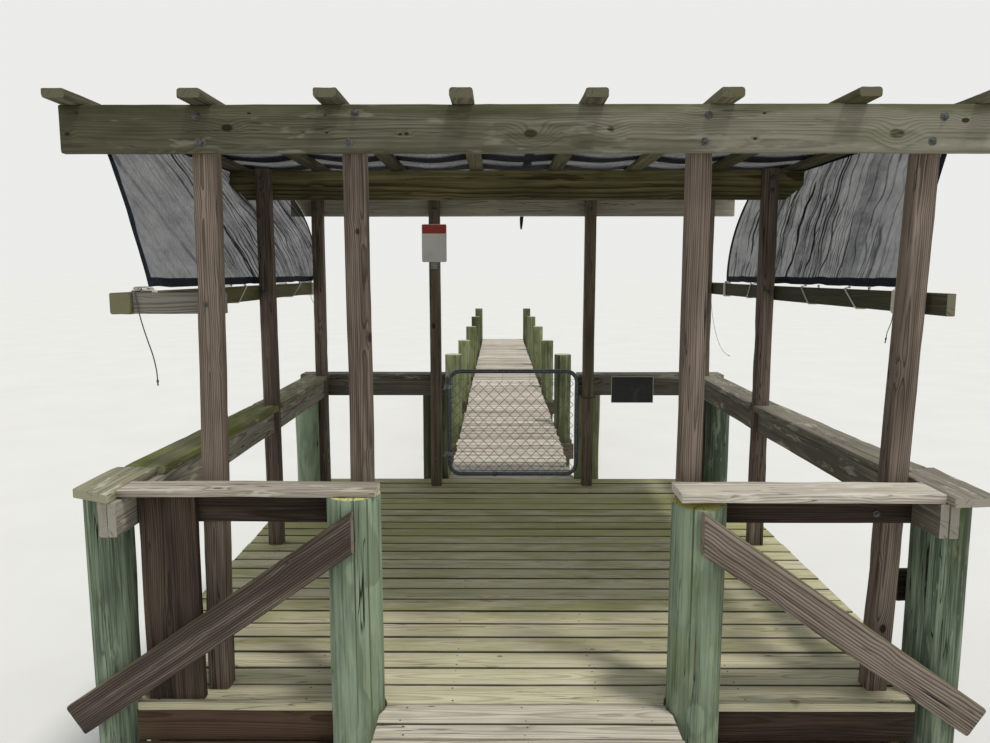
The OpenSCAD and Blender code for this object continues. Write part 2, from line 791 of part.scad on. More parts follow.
// The mesh's w by h rectangle, cut to the rounded opening of the frame and drawn in by inset
module mesh_outline(w, h, left, inset) {
    open_w = gate_w - 2 * tube_d - 2 * seat;
    open_h = gate_h - 2 * tube_d - 2 * seat;
    open_r = gate_corner_r - tube_r - seat;
    intersection() {
        translate([inset, inset]) square([w - 2 * inset, h - 2 * inset]);
        translate([tube_d + seat - left, 0])
            hull()
                for (x = [open_r, open_w - open_r])
                    for (y = [open_r, open_h - open_r])
                        translate([x, y]) circle(r = open_r - inset);
    }
}

// Diamond mesh that fills the frame, clear of the hinge bands and with a gap under the top tube
module gate_mesh() {
    left = tube_d + band_t + 1;
    w = gate_w - tube_d - seat - left;
    h = gate_h - 2 * tube_d - 50;
    hole = mesh_pitch - wire_t * sqrt(2);
    nx = ceil(w / mesh_pitch);
    nz = ceil(h / mesh_pitch);
    color(steel_color)
        translate([gate_x0 + left, gate_y + wire_t / 2, gate_z + tube_d + seat])
            rotate([90, 0, 0])
                linear_extrude(wire_t)
                    difference() {
                        mesh_outline(w, h, left, 0);
                        intersection() {
                            mesh_outline(w, h, left, wire_t);
                            for (i = [0 : 2 * nx])
                                for (j = [0 : 2 * nz])
                                    if ((i + j) % 2 == 0)
                                        translate([i * mesh_pitch / 2, j * mesh_pitch / 2])
                                            polygon([[-hole / 2, 0], [0, -hole / 2], [hole / 2, 0], [0, hole / 2]]);
                        }
                    }
}

approach_boards();
approach_stringers();
approach_feet();
platform_boards();
platform_joists();
platform_rims();
platform_girders();
platform_feet();
walkway_boards_1();
walkway_boards_2();
walkway_boards_3();
walkway_boards_4();
walkway_boards_5();
walkway_stringers();
walkway_caps();
walkway_piles();
entrance_piles();
outer_piles();
corner_piles();
rear_piles();
pile_block();
front_posts();
middle_posts();
rear_posts();
gate_posts();
front_beam();
middle_beam();
rear_beam();
rafters();
left_bar();
left_arm();
right_bar();
roof_cloth();
left_curtain();
right_curtain();
front_caps();
left_cap();
right_cap();
rear_caps();
front_rail_boards();
side_rail_boards();
rear_rail_boards();
braces();
upright_board();
lashings();
cord_near_left();
cord_far_left();
cord_near_right();
cord_far_right();
white_plate();
dark_plate();
hinge_pins();
gate_frame();
gate_mesh();
gate_eyes();
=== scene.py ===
"""The looks of the timber jetty. Metres, +Y out over the water, +Z up."""
import math

import bpy
import numpy as np
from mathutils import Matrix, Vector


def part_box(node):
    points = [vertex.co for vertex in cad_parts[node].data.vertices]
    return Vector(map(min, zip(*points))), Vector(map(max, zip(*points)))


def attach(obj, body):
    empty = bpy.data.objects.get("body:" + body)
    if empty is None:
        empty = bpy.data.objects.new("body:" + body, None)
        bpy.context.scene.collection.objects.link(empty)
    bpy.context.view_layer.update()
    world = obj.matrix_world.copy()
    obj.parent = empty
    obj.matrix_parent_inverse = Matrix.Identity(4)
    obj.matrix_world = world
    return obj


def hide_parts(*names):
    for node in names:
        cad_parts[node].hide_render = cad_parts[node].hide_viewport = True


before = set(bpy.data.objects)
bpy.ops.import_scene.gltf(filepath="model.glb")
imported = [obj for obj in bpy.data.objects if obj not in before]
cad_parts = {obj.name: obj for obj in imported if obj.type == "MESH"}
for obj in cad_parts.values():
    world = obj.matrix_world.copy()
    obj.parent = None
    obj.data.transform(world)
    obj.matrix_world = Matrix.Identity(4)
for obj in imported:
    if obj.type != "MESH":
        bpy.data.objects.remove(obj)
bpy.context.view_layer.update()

# Camera, fitted to the photograph
cam = bpy.data.objects.new("camera", bpy.data.cameras.new("camera"))
bpy.context.scene.collection.objects.link(cam)
cam.data.lens = 27.91
cam.data.sensor_width = 36
cam.data.clip_end = 500
cam.location = (-0.1117, -11.474, 3.0371)
cam.rotation_euler = (math.radians(82.7262), 0, math.radians(0.2775))
bpy.context.scene.camera = cam
bpy.context.scene.view_settings.view_transform = "Standard"


# Rows and levels, read from the frame
def lowest(node, axis):
    """Where a node begins along an axis."""
    return round(float(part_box(node)[0]["xyz".index(axis)]), 4)


def highest(node, axis):
    """Where a node ends along an axis."""
    return round(float(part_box(node)[1]["xyz".index(axis)]), 4)


NEAR, FAR = lowest("approach_boards", "y"), highest("walkway_boards_5", "y")
DECK, WALK = lowest("platform_boards", "y"), lowest("walkway_boards_1", "y")
FRONT, MID, REAR = (lowest(row + "_posts", "y") for row in ("front", "middle", "rear"))
DECK_Z, BEAM_TOP = highest("platform_boards", "z"), highest("front_beam", "z")
CAP_LOW, CAP_TOP, THIN_CAP = lowest("left_cap", "z"), highest("left_cap", "z"), highest("entrance_piles", "z")
RAIL_Z, BAR_Z = lowest("front_rail_boards", "z"), lowest("left_bar", "z")
SIDE_X = highest("middle_posts", "x")

# Timber sizes
PLANK, BOARD, PITCH, NARROW = 0.038, 0.140, 0.148, 0.089
BEAM_H, GIRDER_H, POST = 0.184, 0.235, 0.089
JOIST_TOP = DECK_Z - PLANK
JOIST_LOW = JOIST_TOP - BEAM_H
GIRDER_LOW = JOIST_LOW - GIRDER_H

# Piles, and the slant of the line from the entrance piles to the outer ones
PILE_LIGHT, PILE_HEAVY = 0.200, 0.225
ENTRANCE_X, ENTRANCE_D = 0.695, 0.220
ENTRANCE_Y = FRONT - ENTRANCE_D / 2 - 0.005
CORNER_X, CORNER_Y, CORNER_D = 1.7013, REAR - 0.075, 0.190
PROP_D = 0.18
OUTER_X, OUTER_D = 1.752, {-1: 0.188, 1: PILE_HEAVY}
TURN = math.radians(7.3)

SIDES = (-1, 1)
SEAT = 0.0003
X, Y, Z, TO_LAND = (1, 0, 0), (0, 1, 0), (0, 0, 1), (0, -1, 0)
BRACE_OUT = ENTRANCE_D / 2 + SEAT
OUTER_RUN = (OUTER_X - ENTRANCE_X) * math.tan(TURN)
OUTER_Y = {s: ENTRANCE_Y + OUTER_RUN + (OUTER_D[s] / 2 + SEAT - BRACE_OUT) / math.cos(TURN) for s in SIDES}


def rgb(code):
    """A colour as written on a screen, made linear."""
    c = [int(code[i:i + 2], 16) / 255 for i in (0, 2, 4)]
    return tuple(v / 12.92 if v <= 0.04045 else ((v + 0.055) / 1.055) ** 2.4 for v in c) + (1.0,)


# Meshes
def wander(rng, n, k):
    """n values that wander smoothly between about k random ones."""
    knots = rng.standard_normal(k + 2)
    x = np.linspace(0, k + 1, n)
    i = np.minimum(x.astype(int), k)
    f = x - i
    f = f * f * (3 - 2 * f)
    return knots[i] * (1 - f) + knots[i + 1] * f


def around(n):
    """n angles evenly round a circle."""
    return np.linspace(0, 2 * math.pi, n, endpoint=False)


def distances(p):
    """How far along a line each of its points lies."""
    return np.concatenate([[0], np.cumsum(np.linalg.norm(np.diff(p, axis=0), axis=1))])


def straight(xs, w):
    """The two edges of a board that is w wide all along."""
    return np.full(len(xs), -w / 2), np.full(len(xs), w / 2)


class Part:
    """Gathers the faces of one piece, with grain coordinates and a tint for every vertex.

    A tint is a seed for the pattern, a share of algae, 1 on end grain, and a shade.
    """

    def __init__(self, seed):
        self.rng = np.random.default_rng(seed)
        self.v, self.f, self.grain, self.tint, self.n = [], [], [], [], 0

    def add(self, v, faces, grain=None, tint=(0, 0, 0, 1)):
        """Takes in points and faces; the points themselves are the grain where none is given."""
        v = np.asarray(v, float).reshape(-1, 3)
        self.v.append(v)
        self.f += [tuple(int(i) + self.n for i in f) for f in faces]
        self.grain.append(v if grain is None else np.asarray(grain, float).reshape(-1, 3))
        self.tint.append(np.broadcast_to(np.asarray(tint, float), (len(v), 4)))
        self.n += len(v)

    def make(self, name, mat, node=None, body="structure", angle=38):
        """Turns the gathered faces into a piece, which replaces a node of the frame if one is named."""
        mesh = bpy.data.meshes.new(name)
        mesh.from_pydata(np.concatenate(self.v).tolist(), [], self.f)
        for key, kind, field, rows in (("grain", "FLOAT_VECTOR", "vector", self.grain),
                                       ("tint", "FLOAT_COLOR", "color", self.tint)):
            values = np.concatenate(rows).astype(np.float32).ravel()
            mesh.attributes.new(key, kind, "POINT").data.foreach_set(field, values)
        mesh.shade_smooth()
        mesh.set_sharp_from_angle(angle=math.radians(angle))
        mesh.materials.append(mat)
        o = bpy.data.objects.new(name, mesh)
        bpy.context.scene.collection.objects.link(o)
        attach(o, body)
        if node:
            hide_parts(node)
        return o


def rings(count, sides, closed=False):
    """Quads that join count rings of sides points."""
    out = []
    for i in range(count if closed else count - 1):
        a, b = i * sides, ((i + 1) % count) * sides
        out += [(a + j, a + (j + 1) % sides, b + (j + 1) % sides, b + j) for j in range(sides)]
    return out


def lids(count, sides):
    """The two faces that close a tube of count rings."""
    return [tuple(range(sides))[::-1], tuple(range((count - 1) * sides, count * sides))]


def board(part, a, b, wide, w, t, r=0.003, step=0.13, algae=0.3, skew=(0, 0), trim=None, at=(), bow=0.001,
          wear=1.0, shade=None, squeeze=1.0):
    """A plank from a to b, w wide along wide and t thick, with worn edges and end faces of their own.

    r is the radius of its edges and step the length of its facets. trim gives the two edges where they aren't
    straight, at adds stations along it, and skew slants its ends. A pair as shade runs from one end to the
    other. squeeze narrows the grain coordinate across it.
    """
    rng = part.rng
    a, b, wide = (np.array(v, float) for v in (a, b, wide))
    length = np.linalg.norm(b - a)
    along = (b - a) / length
    wide = wide / np.linalg.norm(wide)
    thick = np.cross(along, wide)
    even = np.linspace(0, length, max(3, int(length / step) + 1) + 1)
    xs = np.unique(np.concatenate([even, [0.003, length - 0.003], np.array(at, float)]))
    n = len(xs)
    k = max(2, int(length / 0.18))
    lo, hi = trim(xs) if trim else straight(xs, w)
    inset = np.zeros(n)
    inset[0] = inset[-1] = min(0.002, r)
    lo, hi, half = lo + inset, hi - inset, t / 2 - inset

    def worn():
        """The radius along an edge, with waves and a few chips."""
        waves = np.abs(wander(rng, n, k))
        return r * (1 + wear * (waves + 2.5 * np.clip(wander(rng, n, 2 * k) - 1.5, 0, 2)))

    ys, zs = [], []
    for c, (sy, sz) in enumerate(((1, 1), (-1, 1), (-1, -1), (1, -1))):
        rad = np.clip(worn(), 0.0005, np.minimum(t * 0.42, (hi - lo) * 0.42))
        edge = hi if sy > 0 else lo
        for q in (0, 45, 90):
            q = math.radians(q) + c * math.pi / 2
            ys.append(edge - sy * rad + rad * math.cos(q))
            zs.append(sz * (half - rad) + rad * math.sin(q))
        for f in {0: (0.75, 0.5, 0.25), 2: (0.25, 0.5, 0.75)}.get(c, ()):
            ys.append(lo + f * (hi - lo))
            zs.append(sz * (half - 0.0007 * np.abs(wander(rng, n, k))))
    ys, zs = np.array(ys).T, np.array(zs).T
    m = ys.shape[1]
    x = np.tile(xs[:, None], (1, m))
    x = x + ys * (skew[0] * np.clip(1 - x / 0.25, 0, 1) + skew[1] * np.clip(1 - (length - x) / 0.25, 0, 1))
    y = ys + bow * wander(rng, n, 3)[:, None]
    z = zs + bow * wander(rng, n, 2)[:, None]
    pts = a + x[..., None] * along + y[..., None] * wide + z[..., None] * thick
    seed = rng.random()
    shade = rng.random() if shade is None else shade
    tone = np.interp(xs, (0, length), shade if isinstance(shade, tuple) else (shade, shade))
    tint = np.stack([np.full(n, seed), np.full(n, algae), np.zeros(n), tone], -1)
    local = np.stack([x, ys * squeeze, zs], -1)
    part.add(pts, rings(n, m), local, np.repeat(tint, m, 0))
    for i, face in ((0, tuple(range(m))[::-1]), (n - 1, tuple(range(m)))):
        part.add(pts[i], [face], local[i], (seed, algae, 1, tone[i]))


def pile(part, x, y, d, z0, z1, step=0.07, sides=40, checks=3, algae=0.4):
    """A round pile with drying checks down its side and across its top."""
    rng = part.rng
    r0 = d / 2
    rough, check_deep, top_deep = 0.0018, 0.012, 0.006
    gap = 0.0045 / r0
    n = max(3, int((z1 - z0) / step) + 1) + 1
    zs = np.append(np.linspace(z0, z1 - 0.004, n - 1), z1)
    cut = np.sort(rng.random(checks) * 2 * math.pi)
    th = np.concatenate([around(sides)] + [c + np.array([-gap, 0, gap]) for c in cut])

    def off(angle, c):
        """How far angles lie from c, round the circle."""
        return np.abs((angle - c + math.pi) % (2 * math.pi) - math.pi)

    keep = np.ones(len(th), bool)
    for c in cut:
        keep[:sides] &= off(th[:sides], c) >= gap * 0.99
    th = np.sort(th[keep] % (2 * math.pi))
    m = len(th)
    rad = np.full((n, m), r0 - 0.002)
    for f in (2, 3, 5):
        rad += rough * wander(rng, n, 5)[:, None] * np.cos(f * th + rng.random() * 6)[None, :]
    depth = np.zeros((n, m))
    for c in cut:
        mid, span = (z1, 0.9) if rng.random() < 0.6 else (z0 + (z1 - z0) * rng.random(), 0.5)
        fade = np.clip(1 - np.abs(zs - mid) / (span * (0.6 + rng.random())), 0, 1) ** 0.5
        depth[:, off(th, c) < gap * 0.4] += check_deep * fade[:, None]
    rad = np.minimum(rad, r0) - depth
    rad[-1] -= 0.003
    pts = np.stack([x + rad * np.cos(th), y + rad * np.sin(th), np.tile(zs[:, None], (1, m))], -1)
    seed, shade = rng.random(), rng.random()

    def grain(v):
        """Grain coordinates, along the pile first."""
        return np.stack([v[..., 2], v[..., 0] - x, v[..., 1] - y], -1)

    part.add(pts, rings(n, m), grain(pts), (seed, algae, 0, shade))
    part.add(pts[0], lids(1, m)[:1], grain(pts[0]), (seed, algae, 1, shade))
    cap = [pts[-1]]
    for i, s in enumerate((0.85, 0.55, 0.25)):
        ring = pts[-1].copy()
        ring[:, :2] = (ring[:, :2] - (x, y)) * s + (x, y)
        sunk = np.where(depth[-1] > 0.001, top_deep * (1 - i * 0.3), 0)
        ring[:, 2] = z1 + 0.0012 * rng.standard_normal(m) - sunk
        cap.append(ring)
    cap = np.concatenate(cap + [np.array([[x, y, z1]])])
    cap[:, 2] = np.minimum(cap[:, 2], z1)
    faces = rings(4, m) + [(3 * m + j, 3 * m + (j + 1) % m, 4 * m) for j in range(m)]
    part.add(cap, faces, grain(cap), (seed, algae, 1, shade))


def tube(part, pts, r, sides=8, closed=False, tint=(0, 0, 0, 1)):
    """A round tube along pts."""
    p = np.asarray(pts, float)
    n = len(p)
    d = np.roll(p, -1, 0) - np.roll(p, 1, 0) if closed else np.gradient(p, axis=0)
    d /= np.linalg.norm(d, axis=1)[:, None]
    u = np.cross(d[0], Z if abs(d[0][2]) < 0.9 else X)
    us = []
    for q in d:
        u = u - q * (u @ q)
        u = u / np.linalg.norm(u)
        us.append(u)
    us = np.array(us)
    ws = np.cross(d, us)
    twist = math.atan2(us[0] @ ws[-1], us[0] @ us[-1]) if closed else 0
    th = around(sides)[None, :] + (np.linspace(0, 1, n) * twist)[:, None]
    cos, sin = r * np.cos(th), r * np.sin(th)
    v = p[:, None] + cos[..., None] * us[:, None] + sin[..., None] * ws[:, None]
    local = np.stack([np.tile(distances(p)[:, None], (1, sides)), cos, sin], -1)
    faces = rings(n, sides, closed) + ([] if closed else lids(n, sides))
    part.add(v, [f[::-1] for f in faces], local, tint)


def smooth_path(pts, per=8):
    """A smooth line through pts."""
    p = np.asarray(pts, float)
    q = np.concatenate([[2 * p[0] - p[1]], p, [2 * p[-1] - p[-2]]])
    out = []
    for i in range(1, len(q) - 2):
        for t in np.linspace(0, 1, per, endpoint=False):
            out.append(0.5 * (2 * q[i] + (q[i + 1] - q[i - 1]) * t
                              + (2 * q[i - 1] - 5 * q[i] + 4 * q[i + 1] - q[i + 2]) * t ** 2
                              + (3 * q[i] - 3 * q[i + 1] + q[i + 2] - q[i - 1]) * t ** 3))
    return np.array(out + [p[-1]])


def kinks(corners, near=0.06):
    """Points on the straight runs between corners, for a tube that turns sharply at each."""
    pts = []
    for a, b in zip(corners[:-1], corners[1:]):
        a, b = np.array(a), np.array(b)
        pts += [a + (b - a) * f for f in (near, 0.5, 1 - near)]
    return pts


def lathe(part, centre, axis, profile, sides=16, tint=(0, 0, 0, 1)):
    """A turned form: profile is pairs of distance along axis and radius."""
    axis = np.array(axis, float)
    u = np.cross(axis, Z if abs(axis[2]) < 0.9 else X)
    u /= np.linalg.norm(u)
    w = np.cross(axis, u)
    th = around(sides)
    turn = np.cos(th)[:, None] * u + np.sin(th)[:, None] * w
    v = [np.array(centre) + h * axis + r * turn for h, r in profile]
    n = len(profile)
    part.add(np.concatenate(v), rings(n, sides) + lids(n, sides), None, tint)


def round_corners(x0, x1, z0, z1, r, steps):
    """The outline of a rectangle with round corners."""
    corners = ((x1 - r, z1 - r, 0), (x0 + r, z1 - r, 90), (x0 + r, z0 + r, 180), (x1 - r, z0 + r, 270))
    out = []
    for x, z, start in corners:
        turns = [math.radians(start + q) for q in np.linspace(0, 90, steps)]
        out += [(x + r * math.cos(q), z + r * math.sin(q)) for q in turns]
    return out


# Materials
class Wire:
    """A shader value that is added, multiplied and so on as a number is."""

    def __init__(self, tree, socket):
        self.tree, self.socket = tree, socket

    def __add__(self, other):
        return self.tree.math("ADD", self, other)

    def __sub__(self, other):
        return self.tree.math("SUBTRACT", self, other)

    def __rsub__(self, other):
        return self.tree.math("SUBTRACT", other, self)

    def __mul__(self, other):
        return self.tree.math("MULTIPLY", self, other)

    def __truediv__(self, other):
        return self.tree.math("DIVIDE", self, other)

    def __abs__(self):
        return self.tree.math("ABSOLUTE", self)


class Tree:
    """The nodes of a material or of the world."""

    def __init__(self, owner):
        owner.use_nodes = True
        self.owner, self.t = owner, owner.node_tree
        self.t.nodes.clear()

    def node(self, kind, *feed, **props):
        n = self.t.nodes.new("ShaderNode" + kind)
        for k, v in props.items():
            setattr(n, k, v)
        for i, v in enumerate(feed):
            self.feed(n.inputs[i], v)
        return n

    def feed(self, socket, v):
        """Gives an input a wire or a fixed value."""
        if isinstance(v, Wire):
            self.t.links.new(v.socket, socket)
        elif v is not None:
            socket.default_value = v

    def value(self, kind, *feed, at=0, **props):
        """A new node's output."""
        return Wire(self, self.node(kind, *feed, **props).outputs[at])

    def parts(self, kind, v):
        """The three parts of a vector or a colour."""
        return [Wire(self, o) for o in self.node(kind, v).outputs]

    def math(self, op, *v, clamp=False):
        return self.value("Math", *v, operation=op, use_clamp=clamp)

    def vec(self, op, *v):
        return self.value("VectorMath", *v, at=1 if op == "LENGTH" else 0, operation=op)

    def noise(self, v, scale, detail=2.0, rough=0.5):
        scale = scale if isinstance(scale, tuple) else (scale, scale, scale)
        n = self.node("TexNoise", self.vec("MULTIPLY", v, scale))
        for key, number in (("Scale", 1), ("Detail", detail), ("Roughness", rough)):
            n.inputs[key].default_value = number
        return Wire(self, n.outputs[0])

    def mix(self, f, a, b, how="MIX"):
        n = self.node("Mix", data_type="RGBA", blend_type=how)
        for i, v in ((0, f), (6, a), (7, b)):
            self.feed(n.inputs[i], v)
        return Wire(self, n.outputs[2])

    def stain(self, f, base, code):
        """The base, multiplied by a colour where f is 1."""
        return self.mix(f, base, self.mix(1.0, base, rgb(code), "MULTIPLY"))

    def span(self, x, lo, hi, a=0.0, b=1.0):
        """A smooth step from a to b while x goes from lo to hi."""
        return self.value("MapRange", x, lo, hi, a, b, interpolation_type="SMOOTHSTEP")

    def finish(self, colour, rough, height=None, strength=1.0, **shader):
        """Adds the shader, with bumps from height, and returns the material."""
        s = self.node("BsdfPrincipled")
        for key, v in {"Base_Color": colour, "Roughness": rough, **shader}.items():
            self.feed(s.inputs[key.replace("_", " ")], v)
        if height is not None:
            b = self.node("Bump")
            for key, v in (("Strength", strength), ("Distance", 0.002), ("Height", height)):
                self.feed(b.inputs[key], v)
            self.feed(s.inputs["Normal"], Wire(self, b.outputs[0]))
        self.node("OutputMaterial", Wire(self, s.outputs[0]))
        return self.owner


def grain_of(t):
    """The grain coordinates of a vertex."""
    return t.value("Attribute", at="Vector", attribute_name="grain")


def tint_of(t):
    """The four numbers of a vertex's tint."""
    n = t.node("Attribute", attribute_name="tint")
    return t.parts("SeparateColor", Wire(t, n.outputs["Color"])) + [Wire(t, n.outputs["Alpha"])]


def wood(name, light, dark, green="6f7a3a", greens=1.0, ring=0.007, late=0.5, pith=0.05, cracks=0.6,
         knots=0.6, rise=None, bump=0.7, fibre=1.0, patch=None, patches=0.0, spread=0.35, wobble=0.05,
         butt=None, marks=(), side=0.0, gap=None):
    """Weathered timber: growth rings round a wandering pith, knots, fibres, checks, algae and end grain.

    ring is the width of a growth ring, and pith and side are how far the rings' centre lies below and beside
    the board's. rise makes algae grow between two heights, marks are chosen knots, patch is the colour of
    worn spots, butt that of end grain, and gap is half the width of a board whose edges get painted shade.
    """
    t = Tree(bpy.data.materials.new(name))
    grain = grain_of(t)
    seed, algae, end, shade = tint_of(t)
    across, up = t.parts("SeparateXYZ", grain)[1:]
    p = t.vec("ADD", grain, t.value("CombineXYZ", seed * 61.7, seed * 37.3, seed * 23.9))

    # Knots
    cell = t.vec("MULTIPLY", p, (1.5, 6.0, 6.0))
    vor = t.node("TexVoronoi", cell, feature="F1")
    vor.inputs["Scale"].default_value = 1
    away = t.vec("MULTIPLY", t.vec("SUBTRACT", cell, Wire(t, vor.outputs["Position"])), (0.45, 0.167, 0.05))
    dist = t.vec("LENGTH", away)
    size = t.span(t.parts("SeparateColor", Wire(t, vor.outputs["Color"]))[0], 0.25, 1.0, 0.0, 0.017)
    knot = t.span(dist - size, -0.004, 0.004, 1.0, 0.0)
    swirl = t.span(dist, 0.0, 0.065, 1.0, 0.0) * 0.012
    for mx, my, mr in marks:
        off = t.vec("MULTIPLY", t.vec("SUBTRACT", grain, (mx, my, 0)), (0.62, 1.0, 0.0))
        off = t.vec("LENGTH", off)
        knot = t.math("MAXIMUM", knot, t.span(off, mr * 0.6, mr, 1.0, 0.0))
        swirl = swirl + t.span(off, 0.0, mr * 3.5, 1.0, 0.0) * (mr * 0.9)

    # Growth rings
    dy = across - ((seed - 0.5) * (pith * 1.6) + side) + (t.noise(p, (1.1, 2, 2), 1.0) - 0.5) * wobble
    dz = up + pith + (t.noise(p, (0.8, 1.7, 2.3), 1.0) - 0.46) * wobble
    fine = t.noise(p, (5, 170, 170), 3.0, 0.6)
    r = t.math("SQRT", dy * dy + dz * dz) + swirl * knots + fine * (ring * 0.25)
    band = t.math("FRACT", r / ring)
    dark_ring = t.span(band, 0.35, 0.92) * t.span(band, 0.93, 1.0, 1.0, 0.0)

    # Fibres, blotches and drying cracks
    streak = t.noise(p, (1.0, 42, 42), 2.0, 0.6)
    blotch = t.noise(p, (1.7, 6, 6), 3.0, 0.6)
    tone = fine * (0.45 * fibre) + streak * (0.55 * fibre) + (blotch - 0.5) * 0.5 + (shade - 0.5) * spread
    base = t.mix(t.span(tone, 0.5 * fibre - 0.27, 0.5 * fibre + 0.27), rgb(dark), rgb(light))
    base = t.stain(dark_ring * late, base, "8f8478")
    line = abs(t.noise(p, (1.6, 48, 48), 1.0) - 0.5)
    crack = t.span(line, 0.003, 0.02, 1.0, 0.0) * t.span(t.noise(p, (1.3, 9, 9), 1.0), 0.52, 0.62)
    base = t.stain(crack * cracks, base, "3a322c")
    base = t.stain(knot * min(1.0, knots * 1.2), base, "6a5a4c")
    if patches:
        spot = t.span(t.noise(p, (4, 17, 17), 3.0, 0.7), 0.56, 0.66)
        base = t.mix(spot * patches, base, rgb(patch))

    # Algae, and painted shade on the board edges at the gaps between boards
    moss = t.noise(p, (2.3, 10, 10), 3.0, 0.65) + (fine - 0.5) * 0.5 + (algae - 0.5) * 0.9
    if rise:
        moss = moss + t.span(across, rise[0], rise[1], 0.0, rise[2])
    moss = t.span(moss, 0.35, 0.8) * greens
    dull = t.mix(1.0, rgb(green), rgb("9a9a8a"), "MULTIPLY")
    base = t.mix(moss, base, t.mix(t.span(tone, 0.2, 0.9), dull, rgb(green)))
    if gap:
        # Painted shade: a board's edges darken to 2a281f where the gaps between boards lie in shade
        edge = t.span(abs(across), gap - 0.009, gap - 0.002)
        base = t.mix(edge * 0.85, base, rgb("2a281f"))

    # End grain
    turn = t.math("ARCTAN2", dz, dy)
    ray = t.noise(t.value("CombineXYZ", turn * 9.0, r * 15.0, seed), 1, 2.0)
    cut = t.mix(dark_ring * 0.5, rgb(butt or light), rgb(dark))
    cut = t.mix(t.span(ray, 0.60, 0.66) * 0.7, cut, rgb(dark))
    cut = t.mix(moss * 0.5, cut, rgb(green))
    base = t.mix(end, base, cut)
    height = fine * 0.5 + dark_ring * (0.35 * late) + streak * 0.5 - crack * cracks
    return t.finish(base, t.span(tone, 0.2, 0.8, 0.78, 0.95), height, bump, Specular_IOR_Level=0.25)


# Both deck woods paint shade along the board edges, where the gaps between boards are
deck_wood = wood("platform_deck_wood", "d3ccad", "8d8668", "adac72", greens=0.85, ring=0.006, late=0.4,
                 cracks=0.8, knots=0.5, patch="d2cebb", patches=0.4, fibre=0.8, gap=BOARD / 2)
pale_wood = wood("pale_deck_wood", "ddd5c4", "a69c8f", "938f68", greens=0.4, late=0.45, cracks=0.8, knots=0.4,
                 spread=0.5, gap=BOARD / 2)
post_wood = wood("post_wood", "96877a", "54483f", "6b6a3c", greens=0.4, ring=0.007, late=0.8, pith=0.03,
                 cracks=0.9, knots=0.8, wobble=0.04, butt="827a6a")

# Knots of the front beam: distance along it, height from its middle, and radius
BEAM_KNOTS = [(0.655, 0.003, 0.017), (1.043, -0.016, 0.005), (1.354, -0.020, 0.007), (1.329, -0.022, 0.006),
              (1.837, -0.020, 0.020), (2.709, -0.040, 0.006), (3.258, -0.020, 0.022), (3.519, 0.030, 0.012),
              (0.030, -0.020, 0.008), (0.743, 0.058, 0.006), (2.741, 0.055, 0.006), (1.039, 0.050, 0.005)]
beam_wood = wood("front_beam_wood", "8f8b7b", "55523f", "5c6040", greens=0.8, ring=0.006, late=0.45,
                 pith=0.09, knots=0.9, rise=(0.03, 0.1, 0.3), wobble=0.04, patch="aaa695", patches=0.35,
                 spread=0.75, marks=BEAM_KNOTS)
ridge_wood = wood("middle_beam_wood", "8b835e", "454028", "6c6b42", ring=0.008, late=0.9, pith=0.3, knots=0.3,
                  fibre=1.2, bump=1.0, wobble=0.03)
tan_wood = wood("rear_beam_wood", "cfc8b8", "958f80", "8c8d68", greens=0.4, late=0.4, knots=0.4)
bar_wood = wood("bar_wood", "7f7a68", "48463a", "6f6f45", late=0.6, cracks=0.7, greens=0.85)
arm_wood = wood("arm_wood", "8a857b", "4f4b44", "6f6f45", late=0.7, cracks=0.8, greens=0.3)
rafter_wood = wood("rafter_wood", "857f6c", "4b4839", "656540", late=0.6, cracks=0.8, greens=0.7,
                   butt="6a6654")
grey_wood = wood("grey_rail_wood", "a59f92", "655f54", "80824e", greens=0.8, late=0.6, cracks=0.9,
                 patch="c9c6b4", patches=0.5)
mossy_wood = wood("mossy_rail_wood", "a9a68c", "66624a", "8d9645", late=0.5, cracks=0.9, patch="d8d8c0",
                  patches=0.5)
cream_wood = wood("cream_cap_wood", "d6cfc0", "8d8375", "8f8f60", greens=0.45, late=0.55, cracks=1.0,
                  patch="e4dfd0", patches=0.6, ring=0.006, pith=0.09, wobble=0.04, fibre=1.2, bump=1.0)
brown_wood = wood("brown_wood", "65564a", "2e241c", "5f6034", greens=0.5, late=0.7, knots=0.5)
brace_wood = wood("brace_wood", "93867a", "4b4139", "6b6a44", greens=0.4, ring=0.009, late=0.9, pith=0.10,
                  cracks=1.0, knots=0.5, fibre=1.3, bump=1.4, side=0.13, rise=(0.05, 0.068, 0.5), spread=0.6)
rim_wood = wood("rim_wood", "5a4638", "291e17", "5f6034", greens=0.4, late=0.6)
under_wood = wood("under_deck_wood", "7f7360", "473e31", "5f6340", greens=0.5, late=0.6)
pile_wood = wood("pile_wood", "95a68d", "414d3e", "77814c", greens=0.6, ring=0.012, late=0.35, pith=0.0,
                 cracks=1.0, knots=0.4, fibre=1.3, butt="dcd88c", patch="aab59d", patches=0.3, spread=0.5)
walk_pile_wood = wood("walkway_pile_wood", "8f9672", "474c37", "767d46", greens=0.75, ring=0.012, late=0.4,
                      pith=0.0, cracks=0.9, knots=0.4, fibre=1.2, butt="c5c3a2")


def steel(name, light, dark, rough=0.5, rust=0.3):
    """Dull galvanised metal with spangle and a little rust."""
    t = Tree(bpy.data.materials.new(name))
    place = t.value("TexCoord", at="Object")
    spangle = t.noise(place, 90, 3.0, 0.6)
    blotch = t.noise(place, 9, 3.0, 0.6)
    colour = t.mix(t.span(spangle, 0.35, 0.65), rgb(dark), rgb(light))
    colour = t.mix(t.span(blotch, 0.55, 0.7) * rust, colour, rgb("6b4630"))
    return t.finish(colour, t.span(spangle, 0.3, 0.7, rough, rough + 0.2), spangle, 0.15, Metallic=0.7)


